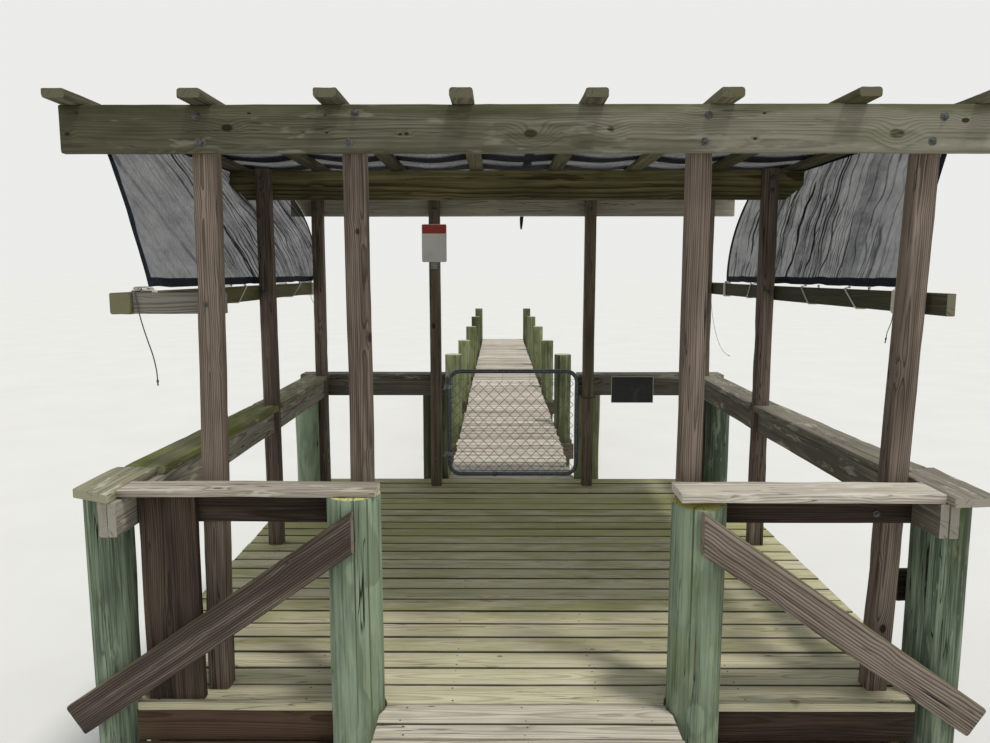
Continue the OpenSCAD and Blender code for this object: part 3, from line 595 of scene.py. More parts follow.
zinc = steel("galvanised_metal", "a9adad", "6f7475", rough=0.45, rust=0.15)
dark_zinc = steel("dark_metal", "6a6c6a", "3f4140")
tube_zinc = steel("gate_tube_metal", "767b80", "3a3f45", rough=0.38, rust=0.1)
wire_zinc = steel("gate_wire_metal", "6f726e", "454845")


def cloth(name):
    """Knitted black shade cloth that lets part of the light through."""
    t = Tree(bpy.data.materials.new(name))
    grain = grain_of(t)
    density_and_fold_shade = tint_of(t)[0]
    along, down, _ = t.parts("SeparateXYZ", grain)
    knit = t.math("SINE", along * 1570.0) * t.math("SINE", down * 1050.0)
    cloud = t.noise(grain, (3.0, 7.0, 1.0), 3.0, 0.6)
    fine = t.noise(grain, (60.0, 25.0, 1.0), 2.0, 0.6)
    alpha = (cloud - 0.5) * 0.24 + 0.79 + knit * 0.10 + (fine - 0.5) * 0.15
    # Painted shade: the fabric is more opaque, so darker, in its folds and creases, and also at its real
    # double hems and seam
    alpha = t.math("ADD", alpha, density_and_fold_shade * 0.5, clamp=True)
    colour = t.mix(t.span(fine, 0.3, 0.7), rgb("12161d"), rgb("262d38"))
    rough = t.span(knit, -1.0, 1.0, 0.75, 0.95)
    return t.finish(colour, rough, knit, 0.2, Specular_IOR_Level=0.2, Alpha=alpha)


def plain(name, light, dark, scale, rough, bump):
    """A worn even finish with fine mottling."""
    t = Tree(bpy.data.materials.new(name))
    mottle = t.noise(grain_of(t), scale, 4.0, 0.65)
    colour = t.mix(t.span(mottle, 0.3, 0.7), rgb(dark), rgb(light))
    return t.finish(colour, t.span(mottle, 0.3, 0.7, rough, rough + 0.15), mottle, bump)


shade_cloth = cloth("black_shade_cloth")
strap = plain("strap_webbing", "2b2c30", "131417", 500, 0.8, 0.5)
cord_white = plain("white_cord", "f0ede6", "b3afa5", 300, 0.85, 0.6)
cord_dark = plain("dark_cord", "6c6a66", "33322f", 300, 0.85, 0.6)
cord_brown = plain("brown_cord", "8b7a64", "4c4136", 300, 0.85, 0.6)


# Free cords on the side bars
def free_cord(name, pts, d, mat, node):
    """A cord that hangs from the bar, with a knot at its end."""
    line = smooth_path(pts, 4)
    part = Part(1)
    tube(part, line, d / 2)
    o = part.make(name, mat, node)
    part = Part(2)
    way = (line[-1] - line[-2]) / np.linalg.norm(line[-1] - line[-2])
    profile = [(0, 0.5), (0.003, 0.95), (0.008, 1.05), (0.012, 0.8), (0.014, 0.5), (0.024, 0.75),
               (0.026, 0.3)]
    lathe(part, line[-1] - way * 0.004, way, [(h, r * d) for h, r in profile], 10)
    knot = part.make(name + "_knot", mat)


NEAR_LEFT = [
    (-1.686, -8.081, 2.973), (-1.684, -8.090, 2.966), (-1.678, -8.115, 2.962), (-1.663, -8.155, 2.962),
    (-1.646, -8.205, 2.962), (-1.630, -8.250, 2.963), (-1.627, -8.264, 2.964), (-1.625, -8.269, 2.963),
    (-1.624, -8.272, 2.959), (-1.623, -8.274, 2.952), (-1.621, -8.274, 2.935), (-1.617, -8.274, 2.905),
    (-1.611, -8.274, 2.870), (-1.603, -8.275, 2.835), (-1.594, -8.275, 2.800), (-1.584, -8.275, 2.765),
    (-1.573, -8.276, 2.730), (-1.563, -8.276, 2.695), (-1.555, -8.276, 2.655), (-1.550, -8.277, 2.620),
    (-1.549, -8.277, 2.590),
]
FAR_LEFT = [
    (-1.686, -5.049, 2.973), (-1.687, -5.043, 2.967), (-1.689, -5.034, 2.964), (-1.691, -5.026, 2.964),
    (-1.692, -5.019, 2.964), (-1.693, -5.014, 2.963), (-1.693, -5.011, 2.959), (-1.693, -5.009, 2.952),
    (-1.694, -5.009, 2.930), (-1.694, -5.009, 2.905), (-1.693, -5.009, 2.880), (-1.690, -5.009, 2.855),
    (-1.685, -5.008, 2.832), (-1.677, -5.008, 2.810), (-1.666, -5.007, 2.788), (-1.652, -5.007, 2.767),
    (-1.637, -5.006, 2.747), (-1.621, -5.006, 2.728), (-1.605, -5.005, 2.709), (-1.590, -5.005, 2.690),
]
NEAR_RIGHT = [
    (1.643, -8.044, 2.870), (1.643, -8.044, 2.862), (1.643, -8.044, 2.854), (1.642, -8.044, 2.846),
    (1.641, -8.044, 2.838), (1.639, -8.044, 2.829), (1.637, -8.045, 2.820), (1.634, -8.045, 2.811),
    (1.631, -8.045, 2.802), (1.628, -8.045, 2.793), (1.625, -8.045, 2.784), (1.622, -8.045, 2.775),
    (1.620, -8.046, 2.766), (1.619, -8.046, 2.758), (1.618, -8.046, 2.750),
]
FAR_RIGHT = [
    (1.686, -5.460, 2.973), (1.684, -5.450, 2.966), (1.682, -5.430, 2.962), (1.678, -5.370, 2.962),
    (1.673, -5.290, 2.962), (1.668, -5.210, 2.962), (1.663, -5.130, 2.962), (1.660, -5.060, 2.963),
    (1.660, -5.019, 2.964), (1.660, -5.014, 2.963), (1.660, -5.011, 2.959), (1.660, -5.009, 2.952),
    (1.661, -5.009, 2.915), (1.664, -5.009, 2.870), (1.668, -5.009, 2.820), (1.674, -5.008, 2.765),
    (1.682, -5.008, 2.705), (1.693, -5.007, 2.645), (1.706, -5.007, 2.585), (1.721, -5.006, 2.530),
    (1.740, -5.006, 2.475), (1.763, -5.006, 2.422), (1.789, -5.006, 2.384), (1.810, -5.006, 2.364),
    (1.830, -5.006, 2.352),
]
free_cord("near_left_cord", NEAR_LEFT, 0.005, cord_dark, "cord_near_left")
free_cord("far_left_cord", FAR_LEFT, 0.005, cord_white, "cord_far_left")
free_cord("near_right_cord", NEAR_RIGHT, 0.004, cord_brown, "cord_near_right")
free_cord("far_right_cord", FAR_RIGHT, 0.005, cord_white, "cord_far_right")


# Decks
def round_cuts(yc, w, cuts, x0):
    """Keeps a board clear of round holes; x0 is where the board starts."""
    def trim(xs):
        """The two edges of the board at the places xs."""
        lo, hi = straight(xs, w)
        for hx, hy, hr in cuts:
            s = np.sqrt(np.clip(hr ** 2 - (x0 + xs - hx) ** 2, 0, None))
            if hy < yc:
                lo = np.where(s > 0, np.maximum(lo, hy + s - yc), lo)
            else:
                hi = np.where(s > 0, np.minimum(hi, hy - s - yc), hi)
        return lo, np.maximum(hi, lo + 0.004)
    return trim


def deck_board(part, y, x0, x1, holes, joists, w=BOARD, **more):
    """A board across the deck, a little off its place as real ones are, with two nails at each joist."""
    rng = part.rng
    yc = y + w / 2 + rng.normal(0, 0.001)
    z = DECK_Z - PLANK / 2 + rng.normal(0, 0.0008)
    tilt = rng.normal(0, 0.0012)
    touch = [h for h in holes if abs(h[1] - yc) < h[2] + w / 2 and x0 - h[2] < h[0] < x1 + h[2]]
    shares = (-0.999, -0.97, -0.85, -0.6, -0.3, 0, 0.3, 0.6, 0.85, 0.97, 0.999)
    at = [h[0] - x0 + h[2] * c for h in touch for c in shares]
    at = [v for v in at if 0.004 < v < x1 - x0 - 0.004]
    board(part, (x0, yc - tilt, z), (x1, yc + tilt, z), Y, w, PLANK, at=at, bow=0.0008,
          trim=round_cuts(yc, w, touch, x0) if touch else None, **more)
    for x in joists:
        for side in SIDES:
            nx, ny = x + rng.normal(0, 0.006), yc + side * (w * 0.33) + rng.normal(0, 0.004)
            if x0 < nx < x1 and all(math.hypot(nx - h[0], ny - h[1]) > h[2] + 0.01 for h in holes):
                lathe(nails, (nx, ny, z + PLANK / 2 - 0.0012), Z, NAIL, 8)


NAIL = [(0, 0.0045), (0.0006, 0.0045), (0.0011, 0.003)]
HOLE_PLAY = 0.006
holes = [(s * ENTRANCE_X, ENTRANCE_Y, ENTRANCE_D / 2 + HOLE_PLAY) for s in SIDES]
holes += [(s * CORNER_X, CORNER_Y, CORNER_D / 2 + HOLE_PLAY) for s in SIDES]
holes += [(s * OUTER_X, OUTER_Y[s], OUTER_D[s] / 2 + HOLE_PLAY) for s in SIDES]
APPROACH_JOISTS, WALK_JOISTS = (-0.5, 0, 0.5), (-0.485, 0, 0.485)
PLATFORM_JOISTS = (-1.55, -0.93, -0.31, 0.31, 0.93, 1.55)
APPROACH_HALF, WALK_HALF, PLATFORM_HALF, FRONT_HALF = 0.600, 0.545, 1.780, 1.6295

# Grain scale that keeps the painted gap shade off a board whose edge is in the open
OPEN_EDGE = 0.86
nails = Part(50)
part = Part(11)
for i in range(6):
    x0, x1 = -APPROACH_HALF + part.rng.normal(0, 0.003), APPROACH_HALF + part.rng.normal(0, 0.003)
    deck_board(part, NEAR + i * PITCH, x0, x1, (), APPROACH_JOISTS, algae=0.35,
               shade=0.55 + 0.3 * part.rng.random(), squeeze=OPEN_EDGE if i == 0 else 1.0)
for y, w, algae, shade in ((DECK - PITCH - 0.097, NARROW, 0.4, 0.6), (DECK - PITCH, BOARD, 0.5, 0.75)):
    deck_board(part, y, -APPROACH_HALF, APPROACH_HALF, holes, APPROACH_JOISTS, w, algae=algae, shade=shade)
part.make("approach_deck", pale_wood, "approach_boards")

part = Part(12)
for i in range(24):
    half = FRONT_HALF if i == 0 else PLATFORM_HALF
    j = part.rng.normal(0, 0.003, 2)
    algae = 0.30 if i < 3 else min(0.64, 0.42 + 0.014 * i) + part.rng.normal(0, 0.10)
    # The boards past the first three get a higher shade, painted light against the shade of the roof cloth
    # over them
    deck_board(part, DECK + i * PITCH, -half + j[0], half + j[1], holes, PLATFORM_JOISTS, algae=algae,
               shade=(0.9 if i < 3 else 1.3) + part.rng.normal(0, 0.16), squeeze=OPEN_EDGE if i == 0 else 1.0)
part.make("platform_deck", deck_wood, "platform_boards")

WALK_BOARDS, PAIR_AT = 98, (17, 37, 57, 77, 97)
PAIR_Y = [WALK + n * PITCH - 0.004 for n in PAIR_AT]
first = 0
for k, last in enumerate(PAIR_AT[:4] + (WALK_BOARDS,)):
    part = Part(20 + k)
    for i in range(first, last):
        j = part.rng.normal(0, 0.005, 2)
        deck_board(part, WALK + i * PITCH, -WALK_HALF + j[0], WALK_HALF + j[1] * 1.4, (), WALK_JOISTS,
                   algae=0.25 + part.rng.normal(0, 0.12), shade=0.5 + part.rng.normal(0, 0.22), step=0.18,
                   squeeze=OPEN_EDGE if i == WALK_BOARDS - 1 else 1.0)
    part.make(f"walkway_deck_{k + 1}", pale_wood, f"walkway_boards_{k + 1}")
    first = last
nails.make("deck_nails", dark_zinc)


# Framing under the decks
def along_x(part, x0, x1, y, z, h, **more):
    """A plank on edge from x0 to x1, its near face at y and its lower edge at z."""
    board(part, (x0, y + PLANK / 2, z + h / 2), (x1, y + PLANK / 2, z + h / 2), Z, h, PLANK, **more)


def along_y(part, x, y0, y1, z, h, **more):
    """A plank on edge from y0 to y1 with its middle at x."""
    board(part, (x, y0, z + h / 2), (x, y1, z + h / 2), Z, h, PLANK, **more)


def spans(x0, x1):
    """The stretch from x0 to x1 on the left and on the right."""
    return [sorted((s * x0, s * x1)) for s in SIDES]


part = Part(31)
for x in APPROACH_JOISTS:
    along_y(part, x, NEAR, FRONT + PLANK, JOIST_LOW, BEAM_H)
part.make("approach_joists", under_wood, "approach_stringers")
part = Part(32)
SILL_LOW, SILL_HALF, FEET_X, FEET_Y = JOIST_LOW - BEAM_H, 0.56, 0.5, NEAR + 0.2
along_x(part, -SILL_HALF, SILL_HALF, FEET_Y - PLANK / 2, SILL_LOW, BEAM_H)
for s in SIDES:
    pile(part, s * FEET_X, FEET_Y, PROP_D, 0, SILL_LOW - SEAT, step=0.1, sides=32)
part.make("approach_supports", pile_wood, "approach_feet")

RIM_Y, RIM_IN, RIM_OUT, RIM_STEP = DECK + 0.010, 0.8053, 1.6392, 0.040
BACK_RIM_Y, BACK_RIM_HALF = WALK - 0.056, 1.77
part = Part(33)
for x in PLATFORM_JOISTS:
    along_y(part, x, RIM_Y + PLANK, BACK_RIM_Y, JOIST_LOW, BEAM_H, algae=0.2)
part.make("deck_joists", under_wood, "platform_joists")
part = Part(34)
for a, b in spans(RIM_IN, RIM_OUT):
    along_x(part, a, b, RIM_Y, JOIST_TOP - BOARD, BOARD, algae=0.4)
    along_x(part, a, b, RIM_Y - RIM_STEP, JOIST_TOP - BOARD - BEAM_H, BEAM_H, algae=0.4)
along_x(part, -BACK_RIM_HALF, BACK_RIM_HALF, BACK_RIM_Y, JOIST_LOW, BEAM_H, algae=0.3)
part.make("edge_boards", rim_wood, "platform_rims")
part = Part(35)
GIRDER_Y = DECK + 1.776
for half, y in ((FRONT_HALF, ENTRANCE_Y + BRACE_OUT), (1.70, GIRDER_Y),
                (1.75, CORNER_Y + CORNER_D / 2 + SEAT)):
    along_x(part, -half, half, y, GIRDER_LOW, GIRDER_H)
part.make("cross_girders", under_wood, "platform_girders")
part = Part(36)
PROP_X = 1.2
for s in SIDES:
    pile(part, s * PROP_X, GIRDER_Y + PLANK / 2, PROP_D, 0, GIRDER_LOW, step=0.1, sides=32)
part.make("platform_props", pile_wood, "platform_feet")

part = Part(37)
STRINGER_L = 3.62
for x in WALK_JOISTS:
    y = WALK - 0.018
    while y < FAR - 0.1:
        end = min(y + STRINGER_L, FAR)
        along_y(part, x, y, end - 0.0015, JOIST_LOW, BEAM_H, step=0.3)
        y = end
part.make("walkway_bearers", under_wood, "walkway_stringers")
part = Part(38)
CROSS_HALF, CROSS_OFF = 0.78, PILE_LIGHT / 2 + SEAT + PLANK / 2
for y in PAIR_Y:
    for s in SIDES:
        along_x(part, -CROSS_HALF, CROSS_HALF, y + s * CROSS_OFF - PLANK / 2, JOIST_LOW - BEAM_H, BEAM_H)
part.make("walkway_crosspieces", under_wood, "walkway_caps")

# Piles
WALK_PILE_X, WALK_PILE_TOPS = 0.65, (0.835, 0.745, 0.760, 0.790, 0.845)
REAR_PILE_X, REAR_PILE_Y = 0.668, -4.791
part = Part(41)
for y, top in zip(PAIR_Y, WALK_PILE_TOPS):
    for s in SIDES:
        pile(part, s * WALK_PILE_X, y, PILE_LIGHT, 0, DECK_Z + top, algae=0.5)
part.make("walkway_poles", walk_pile_wood, "walkway_piles")
part = Part(42)
for s, top, algae in ((-1, THIN_CAP, 0.35), (1, CAP_LOW - 0.030, 0.45)):
    pile(part, s * ENTRANCE_X, ENTRANCE_Y, ENTRANCE_D, 0, top, step=0.04, sides=64, checks=5, algae=algae)
part.make("entrance_poles", pile_wood, "entrance_piles")
part = Part(43)
for s in SIDES:
    pile(part, s * OUTER_X, OUTER_Y[s], OUTER_D[s], 0, CAP_LOW, step=0.05, sides=56, checks=4, algae=0.35)
part.make("outer_poles", pile_wood, "outer_piles")
part = Part(44)
for s in SIDES:
    pile(part, s * CORNER_X, CORNER_Y, CORNER_D, 0, CAP_LOW, algae=0.3)
part.make("corner_poles", pile_wood, "corner_piles")
part = Part(45)
for s in SIDES:
    pile(part, s * REAR_PILE_X, REAR_PILE_Y, PILE_HEAVY, 0, CAP_LOW)
part.make("rear_poles", walk_pile_wood, "rear_piles")
part = Part(46)
BLOCK_HALF, BLOCK_Z = 0.1, DECK_Z + 0.349
along_x(part, OUTER_X - BLOCK_HALF, OUTER_X + BLOCK_HALF, OUTER_Y[1] + PILE_HEAVY / 2 + SEAT, BLOCK_Z, BOARD)
part.make("short_block", brown_wood, "pile_block")

# Posts
SIDE_POST, GATE_POST, ENTRY_POST = SIDE_X - POST / 2, 0.638, 0.688
LEAN_FOOT, LEAN_HEAD, SIDE_LEAN = -1.325, -1.280, 0.075


def post(part, x0, y, x1=None, **more):
    """A square post from the deck to the beam's top; x1 is where the head of a leaning one is."""
    head = x0 if x1 is None else x1
    board(part, (x0, y + POST / 2, DECK_Z), (head, y + POST / 2, BEAM_TOP), X, POST, POST, r=0.005, step=0.09,
          bow=0.0012, **more)


part = Part(51)
post(part, LEAN_FOOT, FRONT, LEAN_HEAD, algae=0.3, shade=0.6)
post(part, -ENTRY_POST, FRONT, algae=0.1, shade=0.35)
post(part, ENTRY_POST, FRONT, algae=0.15, shade=0.5)
post(part, SIDE_POST - SIDE_LEAN, FRONT, SIDE_POST, algae=0.15, shade=0.6)
part.make("front_uprights", post_wood, "front_posts")
POST_PAIRS = ((52, "middle_uprights", SIDE_POST, MID, 0.2, 0.35, "middle_posts"),
              (53, "rear_uprights", SIDE_POST, REAR, 0.4, 0.45, "rear_posts"),
              (54, "gate_uprights", GATE_POST, REAR, 0.55, 0.5, "gate_posts"))
for seed, name, x, y, algae, shade, node in POST_PAIRS:
    part = Part(seed)
    for s in SIDES:
        post(part, s * x, y, algae=algae, shade=shade)
    part.make(name, post_wood, node)

# Roof timbers and side bars
BEAM_L = 1.825
BEAM_LOW = BEAM_TOP - BEAM_H
BEAM_CUT_L, BEAM_CUT_H = 0.110, 0.088


def low_corners(xs):
    """The edges of a beam whose lower corners are cut off."""
    lo, hi = straight(xs, BEAM_H)
    return lo + BEAM_CUT_H * np.clip(1 - np.minimum(xs, 2 * BEAM_L - xs) / BEAM_CUT_L, 0, 1), hi


part = Part(61)
along_x(part, -BEAM_L, BEAM_L, FRONT - PLANK, BEAM_LOW, BEAM_H, algae=0.42, step=0.06, shade=(0.1, 0.85),
        r=0.004)
part.make("front_header", beam_wood, "front_beam")
part = Part(62)
near_cut = (BEAM_CUT_L / 2, BEAM_CUT_L, BEAM_CUT_L + 0.002)
along_x(part, -BEAM_L, BEAM_L, MID + POST, BEAM_LOW, BEAM_H, algae=0.4, shade=0.5, trim=low_corners,
        at=near_cut + tuple(2 * BEAM_L - v for v in near_cut))
part.make("middle_header", ridge_wood, "middle_beam")
part = Part(63)
along_x(part, -BEAM_L, BEAM_L, REAR + POST, BEAM_LOW, BEAM_H, algae=0.25, shade=0.5)
part.make("rear_header", tan_wood, "rear_beam")

part = Part(64)
RAFTER_PITCH = (2 * BEAM_L - NARROW) / 7
RAFTER_Y, RAFTER_L, RAFTER_Z = FRONT - 0.150, 3.658, BEAM_TOP + PLANK / 2
for i in range(8):
    x = -BEAM_L + NARROW / 2 + i * RAFTER_PITCH
    board(part, (x, RAFTER_Y, RAFTER_Z), (x, RAFTER_Y + RAFTER_L, RAFTER_Z), X, NARROW, PLANK, r=0.005,
          algae=0.55 + part.rng.normal(0, 0.1), wear=1.6)
part.make("roof_rafters", rafter_wood, "rafters")

LEFT_BAR_Y, RIGHT_BAR_Y, BAR_END = FRONT + 0.073, FRONT - 0.095, REAR + POST + 0.030
BAR_MID, ARM_END = BAR_Z + NARROW / 2, -1.2555
part = Part(65)
x = -SIDE_X - POST / 2
board(part, (x, LEFT_BAR_Y, BAR_MID), (x, BAR_END, BAR_MID), X, POST, NARROW, r=0.004, algae=0.75)
part.make("left_side_bar", bar_wood, "left_bar")
part = Part(66)
along_x(part, -SIDE_X, ARM_END, FRONT + POST, BAR_Z, NARROW, algae=0.2, shade=0.8)
part.make("left_cross_arm", arm_wood, "left_arm")
part = Part(67)
# The right bar's low shade darkens it below the left one of the same wood: painted shade
along_y(part, SIDE_X + PLANK / 2, RIGHT_BAR_Y, BAR_END, BAR_Z, NARROW, algae=0.6, shade=-0.3)
part.make("right_side_bar", bar_wood, "right_bar")

# Hand rails
THIN_T, CAP_IN, CAP_OUT = 0.030, 0.600, 1.6227
REAR_IN, REAR_CAP_OUT, RAIL_IN, RAIL_OUT = 0.56, 1.79, 0.78, 1.595
CAP_Z = CAP_LOW + PLANK / 2
part = Part(71)
y, z = FRONT - 0.115, CAP_TOP - THIN_T / 2
board(part, (-CAP_OUT, y, z), (-CAP_IN, y, z), Y, BOARD, THIN_T, algae=0.35, shade=0.35, step=0.05, wear=1.5)
y, z = FRONT - 0.136, CAP_TOP - PLANK / 2
board(part, (CAP_IN, y, z), (CAP_OUT, y, z), Y, BEAM_H, PLANK, algae=0.2, shade=0.9, step=0.05, wear=1.8)
part.make("front_cap_boards", cream_wood, "front_caps")

# Side caps: the place of the short board, the inner edges of the long ones, and the gaps for the posts
SHORT_CAP_X, SHORT_CAP_END = 1.715, FRONT + 0.195
EDGE_FRONT, EDGE_JOINT, EDGE_REAR = 1.588, 1.535, 1.550
POST_GAPS = [(MID - 0.0004, MID + POST + 0.0004), (REAR - 0.0004, REAR + POST + 0.0004)]


def side_cap(seed, s, front_out, front_in, name, node, mat, greens):
    """The flat boards of a side rail: a short one at the front, and two that are notched round the posts."""
    part = Part(seed)
    wide = (s, 0, 0)
    x, y = s * SHORT_CAP_X, (front_out + front_in) / 2
    board(part, (x, y, CAP_Z), (x, SHORT_CAP_END, CAP_Z), wide, BEAM_H, PLANK, algae=greens[0], shade=0.6,
          skew=((front_out - front_in) / BEAM_H, 0), step=0.05, wear=1.6)
    joint = MID + POST / 2
    for y0, y1, x0, x1, algae in ((SHORT_CAP_END + SEAT, joint, EDGE_FRONT, EDGE_JOINT, greens[1]),
                                  (joint + SEAT, REAR + POST, EDGE_JOINT, EDGE_REAR, greens[2])):
        def notched(xs, y0=y0, y1=y1, x0=x0, x1=x1):
            """The two edges, cut in where a post stands."""
            lo, hi = straight(xs, BEAM_H)
            mid = x0 + (x1 - x0) * (xs / (y1 - y0)) + BEAM_H / 2
            for a, b in POST_GAPS:
                lo = np.where((y0 + xs > a) & (y0 + xs < b), SIDE_X + 0.001 - mid, lo)
            return lo, hi
        at = [v - y0 + e for gap in POST_GAPS for v in gap for e in (-SEAT, SEAT)]
        at = [v for v in at if 0.004 < v < y1 - y0 - 0.004]
        board(part, (s * (x0 + BEAM_H / 2), y0, CAP_Z), (s * (x1 + BEAM_H / 2), y1, CAP_Z), wide, BEAM_H,
              PLANK, trim=notched, at=at, algae=algae, shade=0.5, step=0.08, wear=1.6)
    part.make(name, mat, node)


side_cap(72, -1, FRONT - 0.158, FRONT - 0.250, "left_cap_boards", "left_cap", mossy_wood, (0.3, 0.6, 0.35))
side_cap(73, 1, FRONT - 0.262, FRONT - 0.280, "right_cap_boards", "right_cap", grey_wood, (0.25, 0.4, 0.4))
part = Part(74)
y = REAR + POST + SEAT + BEAM_H / 2
for a, b in spans(REAR_IN, REAR_CAP_OUT):
    board(part, (a, y, CAP_Z), (b, y, CAP_Z), Y, BEAM_H, PLANK, algae=0.35)
part.make("rear_cap_boards", grey_wood, "rear_caps")
part = Part(75)
for a, b in spans(RAIL_IN, RAIL_OUT):
    along_x(part, a, b, FRONT - PLANK, RAIL_Z, BOARD, algae=0.05, shade=0.2)
part.make("front_rails", brown_wood, "front_rail_boards")
RAIL_X, RAIL_HEAD_X, OUTER_RAIL_X = 1.587, 1.619, 1.6573
part = Part(76)
z, start, stop = RAIL_Z + BOARD / 2, FRONT - 0.230, OUTER_Y[1] - OUTER_D[1] / 2 - SEAT
for s in SIDES:
    for x0, y0, x1, y1, algae in ((RAIL_HEAD_X, start, RAIL_X, MID - SEAT, 0.3),
                                  (RAIL_X, MID + POST + SEAT, RAIL_X, REAR - SEAT, 0.3),
                                  (OUTER_RAIL_X, start, OUTER_RAIL_X, stop, 0.5)):
        board(part, (s * x0, y0, z), (s * x1, y1, z), Z, BOARD, PLANK, algae=algae)
part.make("side_rails", grey_wood, "side_rail_boards")
part = Part(77)
for a, b in spans(REAR_IN, SIDE_X):
    along_x(part, a, b, REAR + POST, RAIL_Z, BOARD, algae=0.6, shade=0.6)
part.make("rear_rails", arm_wood, "rear_rail_boards")

# Slanted braces, in the upright plane that touches the entrance pile and the outer pile
SLOPE = math.radians(35.6)
part = Part(78)
top_x, top_z = -0.033, DECK_Z + 0.877
foot_x = (OUTER_X - ENTRANCE_X) / math.cos(TURN) + 0.163
foot_z = top_z - (foot_x - top_x) * math.tan(SLOPE)
half, out = BOARD / 2, -BRACE_OUT - PLANK / 2
ends = [(top_x, top_z - half / math.cos(SLOPE)),
        (foot_x - half * math.sin(SLOPE), foot_z - half * math.cos(SLOPE))]
for s in SIDES:
    a, b = [(s * (ENTRANCE_X + x * math.cos(TURN) - out * math.sin(TURN)),
             ENTRANCE_Y + x * math.sin(TURN) + out * math.cos(TURN), z) for x, z in ends]
    wide = (s * math.sin(SLOPE) * math.cos(TURN), math.sin(SLOPE) * math.sin(TURN), math.cos(SLOPE))
    board(part, a, b, wide, BOARD, PLANK, skew=(-math.tan(SLOPE), 0), r=0.005, step=0.05, algae=0.15,
          shade=0.45 + 0.25 * s, wear=1.5)
part.make("slanted_braces", brace_wood, "braces")
UPRIGHT_X, UPRIGHT_Y = -1.4725, FRONT - 0.057
part = Part(79)
board(part, (UPRIGHT_X, UPRIGHT_Y, DECK_Z), (UPRIGHT_X, UPRIGHT_Y, CAP_TOP - THIN_T), X, GIRDER_H, PLANK,
      algae=0.3, shade=0.35)
part.make("wide_upright", brown_wood, "upright_board")


# Shade cloth
def cloth_piece(name, grid, size, density_and_fold_shade, node):
    """A sheet from a grid of points, grain in metres along and down it, tint red for its density and painted
    fold shade.
    """
    nu, nv = grid.shape[:2]
    part = Part(3)
    u, v = np.meshgrid(np.linspace(0, size[0], nu), np.linspace(0, size[1], nv), indexing="ij")
    tint = np.stack([density_and_fold_shade, 0 * density_and_fold_shade, 0 * density_and_fold_shade, np.ones_like(density_and_fold_shade)], -1)
    faces = [(i * nv + j, (i + 1) * nv + j, (i + 1) * nv + j + 1, i * nv + j + 1)
             for i in range(nu - 1) for j in range(nv - 1)]
    part.add(grid, faces, np.stack([u, v, 0 * u], -1), tint.reshape(-1, 4))
    o = part.make(name, shade_cloth, node, angle=180)


def hem(u, v, size, w=0.042):
    """1 near the edges of a sheet."""
    edge = np.minimum(np.minimum(u, size[0] - u), np.minimum(v, size[1] - v))
    return np.clip((w + 0.004 - edge) / 0.004, 0, 1)


def fold(q, seed, n=9, lo=3, hi=22):
    """A smooth random wave of q, of n frequencies from lo to hi."""
    rng = np.random.default_rng(seed)
    out = 0 * q
    for f in np.geomspace(lo, hi, n):
        f *= rng.uniform(0.9, 1.1)
        out += rng.uniform(0.4, 1) * np.sin(2 * math.pi * f * q + rng.uniform(0, 6.28)) * (lo / f) ** 0.7
    return out


# The roof cloth sags between the rafters, with painted shade in bands along its ripples
CLOTH_X, CLOTH_Y0, CLOTH_Y1, CLOTH_Z = 1.863, -8.0775, -4.8795, 3.7278
size = (2 * CLOTH_X, CLOTH_Y1 - CLOTH_Y0)
u, v = np.meshgrid(np.linspace(0, size[0], 170), np.linspace(0, size[1], 180), indexing="ij")
x, y = u - CLOTH_X, CLOTH_Y0 + v
f = ((x + BEAM_L - NARROW / 2) / RAFTER_PITCH) % 1
half = NARROW / 2 / RAFTER_PITCH
between = np.clip((f - half) / (1 - 2 * half), 0, 1)
inside = np.sin(math.pi * between) * (np.abs(x) < BEAM_L)
ripple = np.sin(2 * math.pi * v / 0.42 + 0.9 * fold(u / 3.7, 4, 4, 1, 4) + 0.5)
z = CLOTH_Z - inside ** 1.3 * (0.010 + 0.007 * (1 + ripple)) + 0.0012 * inside * fold(v, 5, 5, 3, 9)
# Painted shade: denser, so darker, where the ripples sag deepest; the hems and the seam are real double
# layers
density_and_fold_shade = 0.16 + 0.55 * np.clip(0.55 + 0.8 * ripple + 0.15 * fold(u / 3.7, 8, 4, 2, 9), 0, 1) ** 1.3
density_and_fold_shade = np.maximum(density_and_fold_shade, 0.8 * hem(u, v, size))
seam = np.abs(x - 0.07) < 0.022
density_and_fold_shade = np.maximum(density_and_fold_shade, seam * 0.7)
cloth_piece("roof_shade", np.stack([x, y, z], -1), size, density_and_fold_shade, "roof_cloth")


def lean_on(x, y, y0, y1, face):
    """Keeps cloth outside a timber from y0 to y1 whose outer face is at face; it tents to both sides."""
    away = np.maximum(np.maximum(y0 - y, y - y1), 0)
    limit = face + 0.003 - 0.25 * away
    return 0.5 * (x + limit + np.sqrt((x - limit) ** 2 + 0.004 ** 2))


# Painted crease shade of a curtain: lowest and highest frequency, width and darkness of the crease lines
CREASES = ((5, 14, 0.085, 1.0), (9, 26, 0.11, 0.8), (16, 50, 0.16, 0.5))
CURTAIN_TOP, CURTAIN_DROP, CURTAIN_CUT = 1.8615, 0.7548, 0.7838


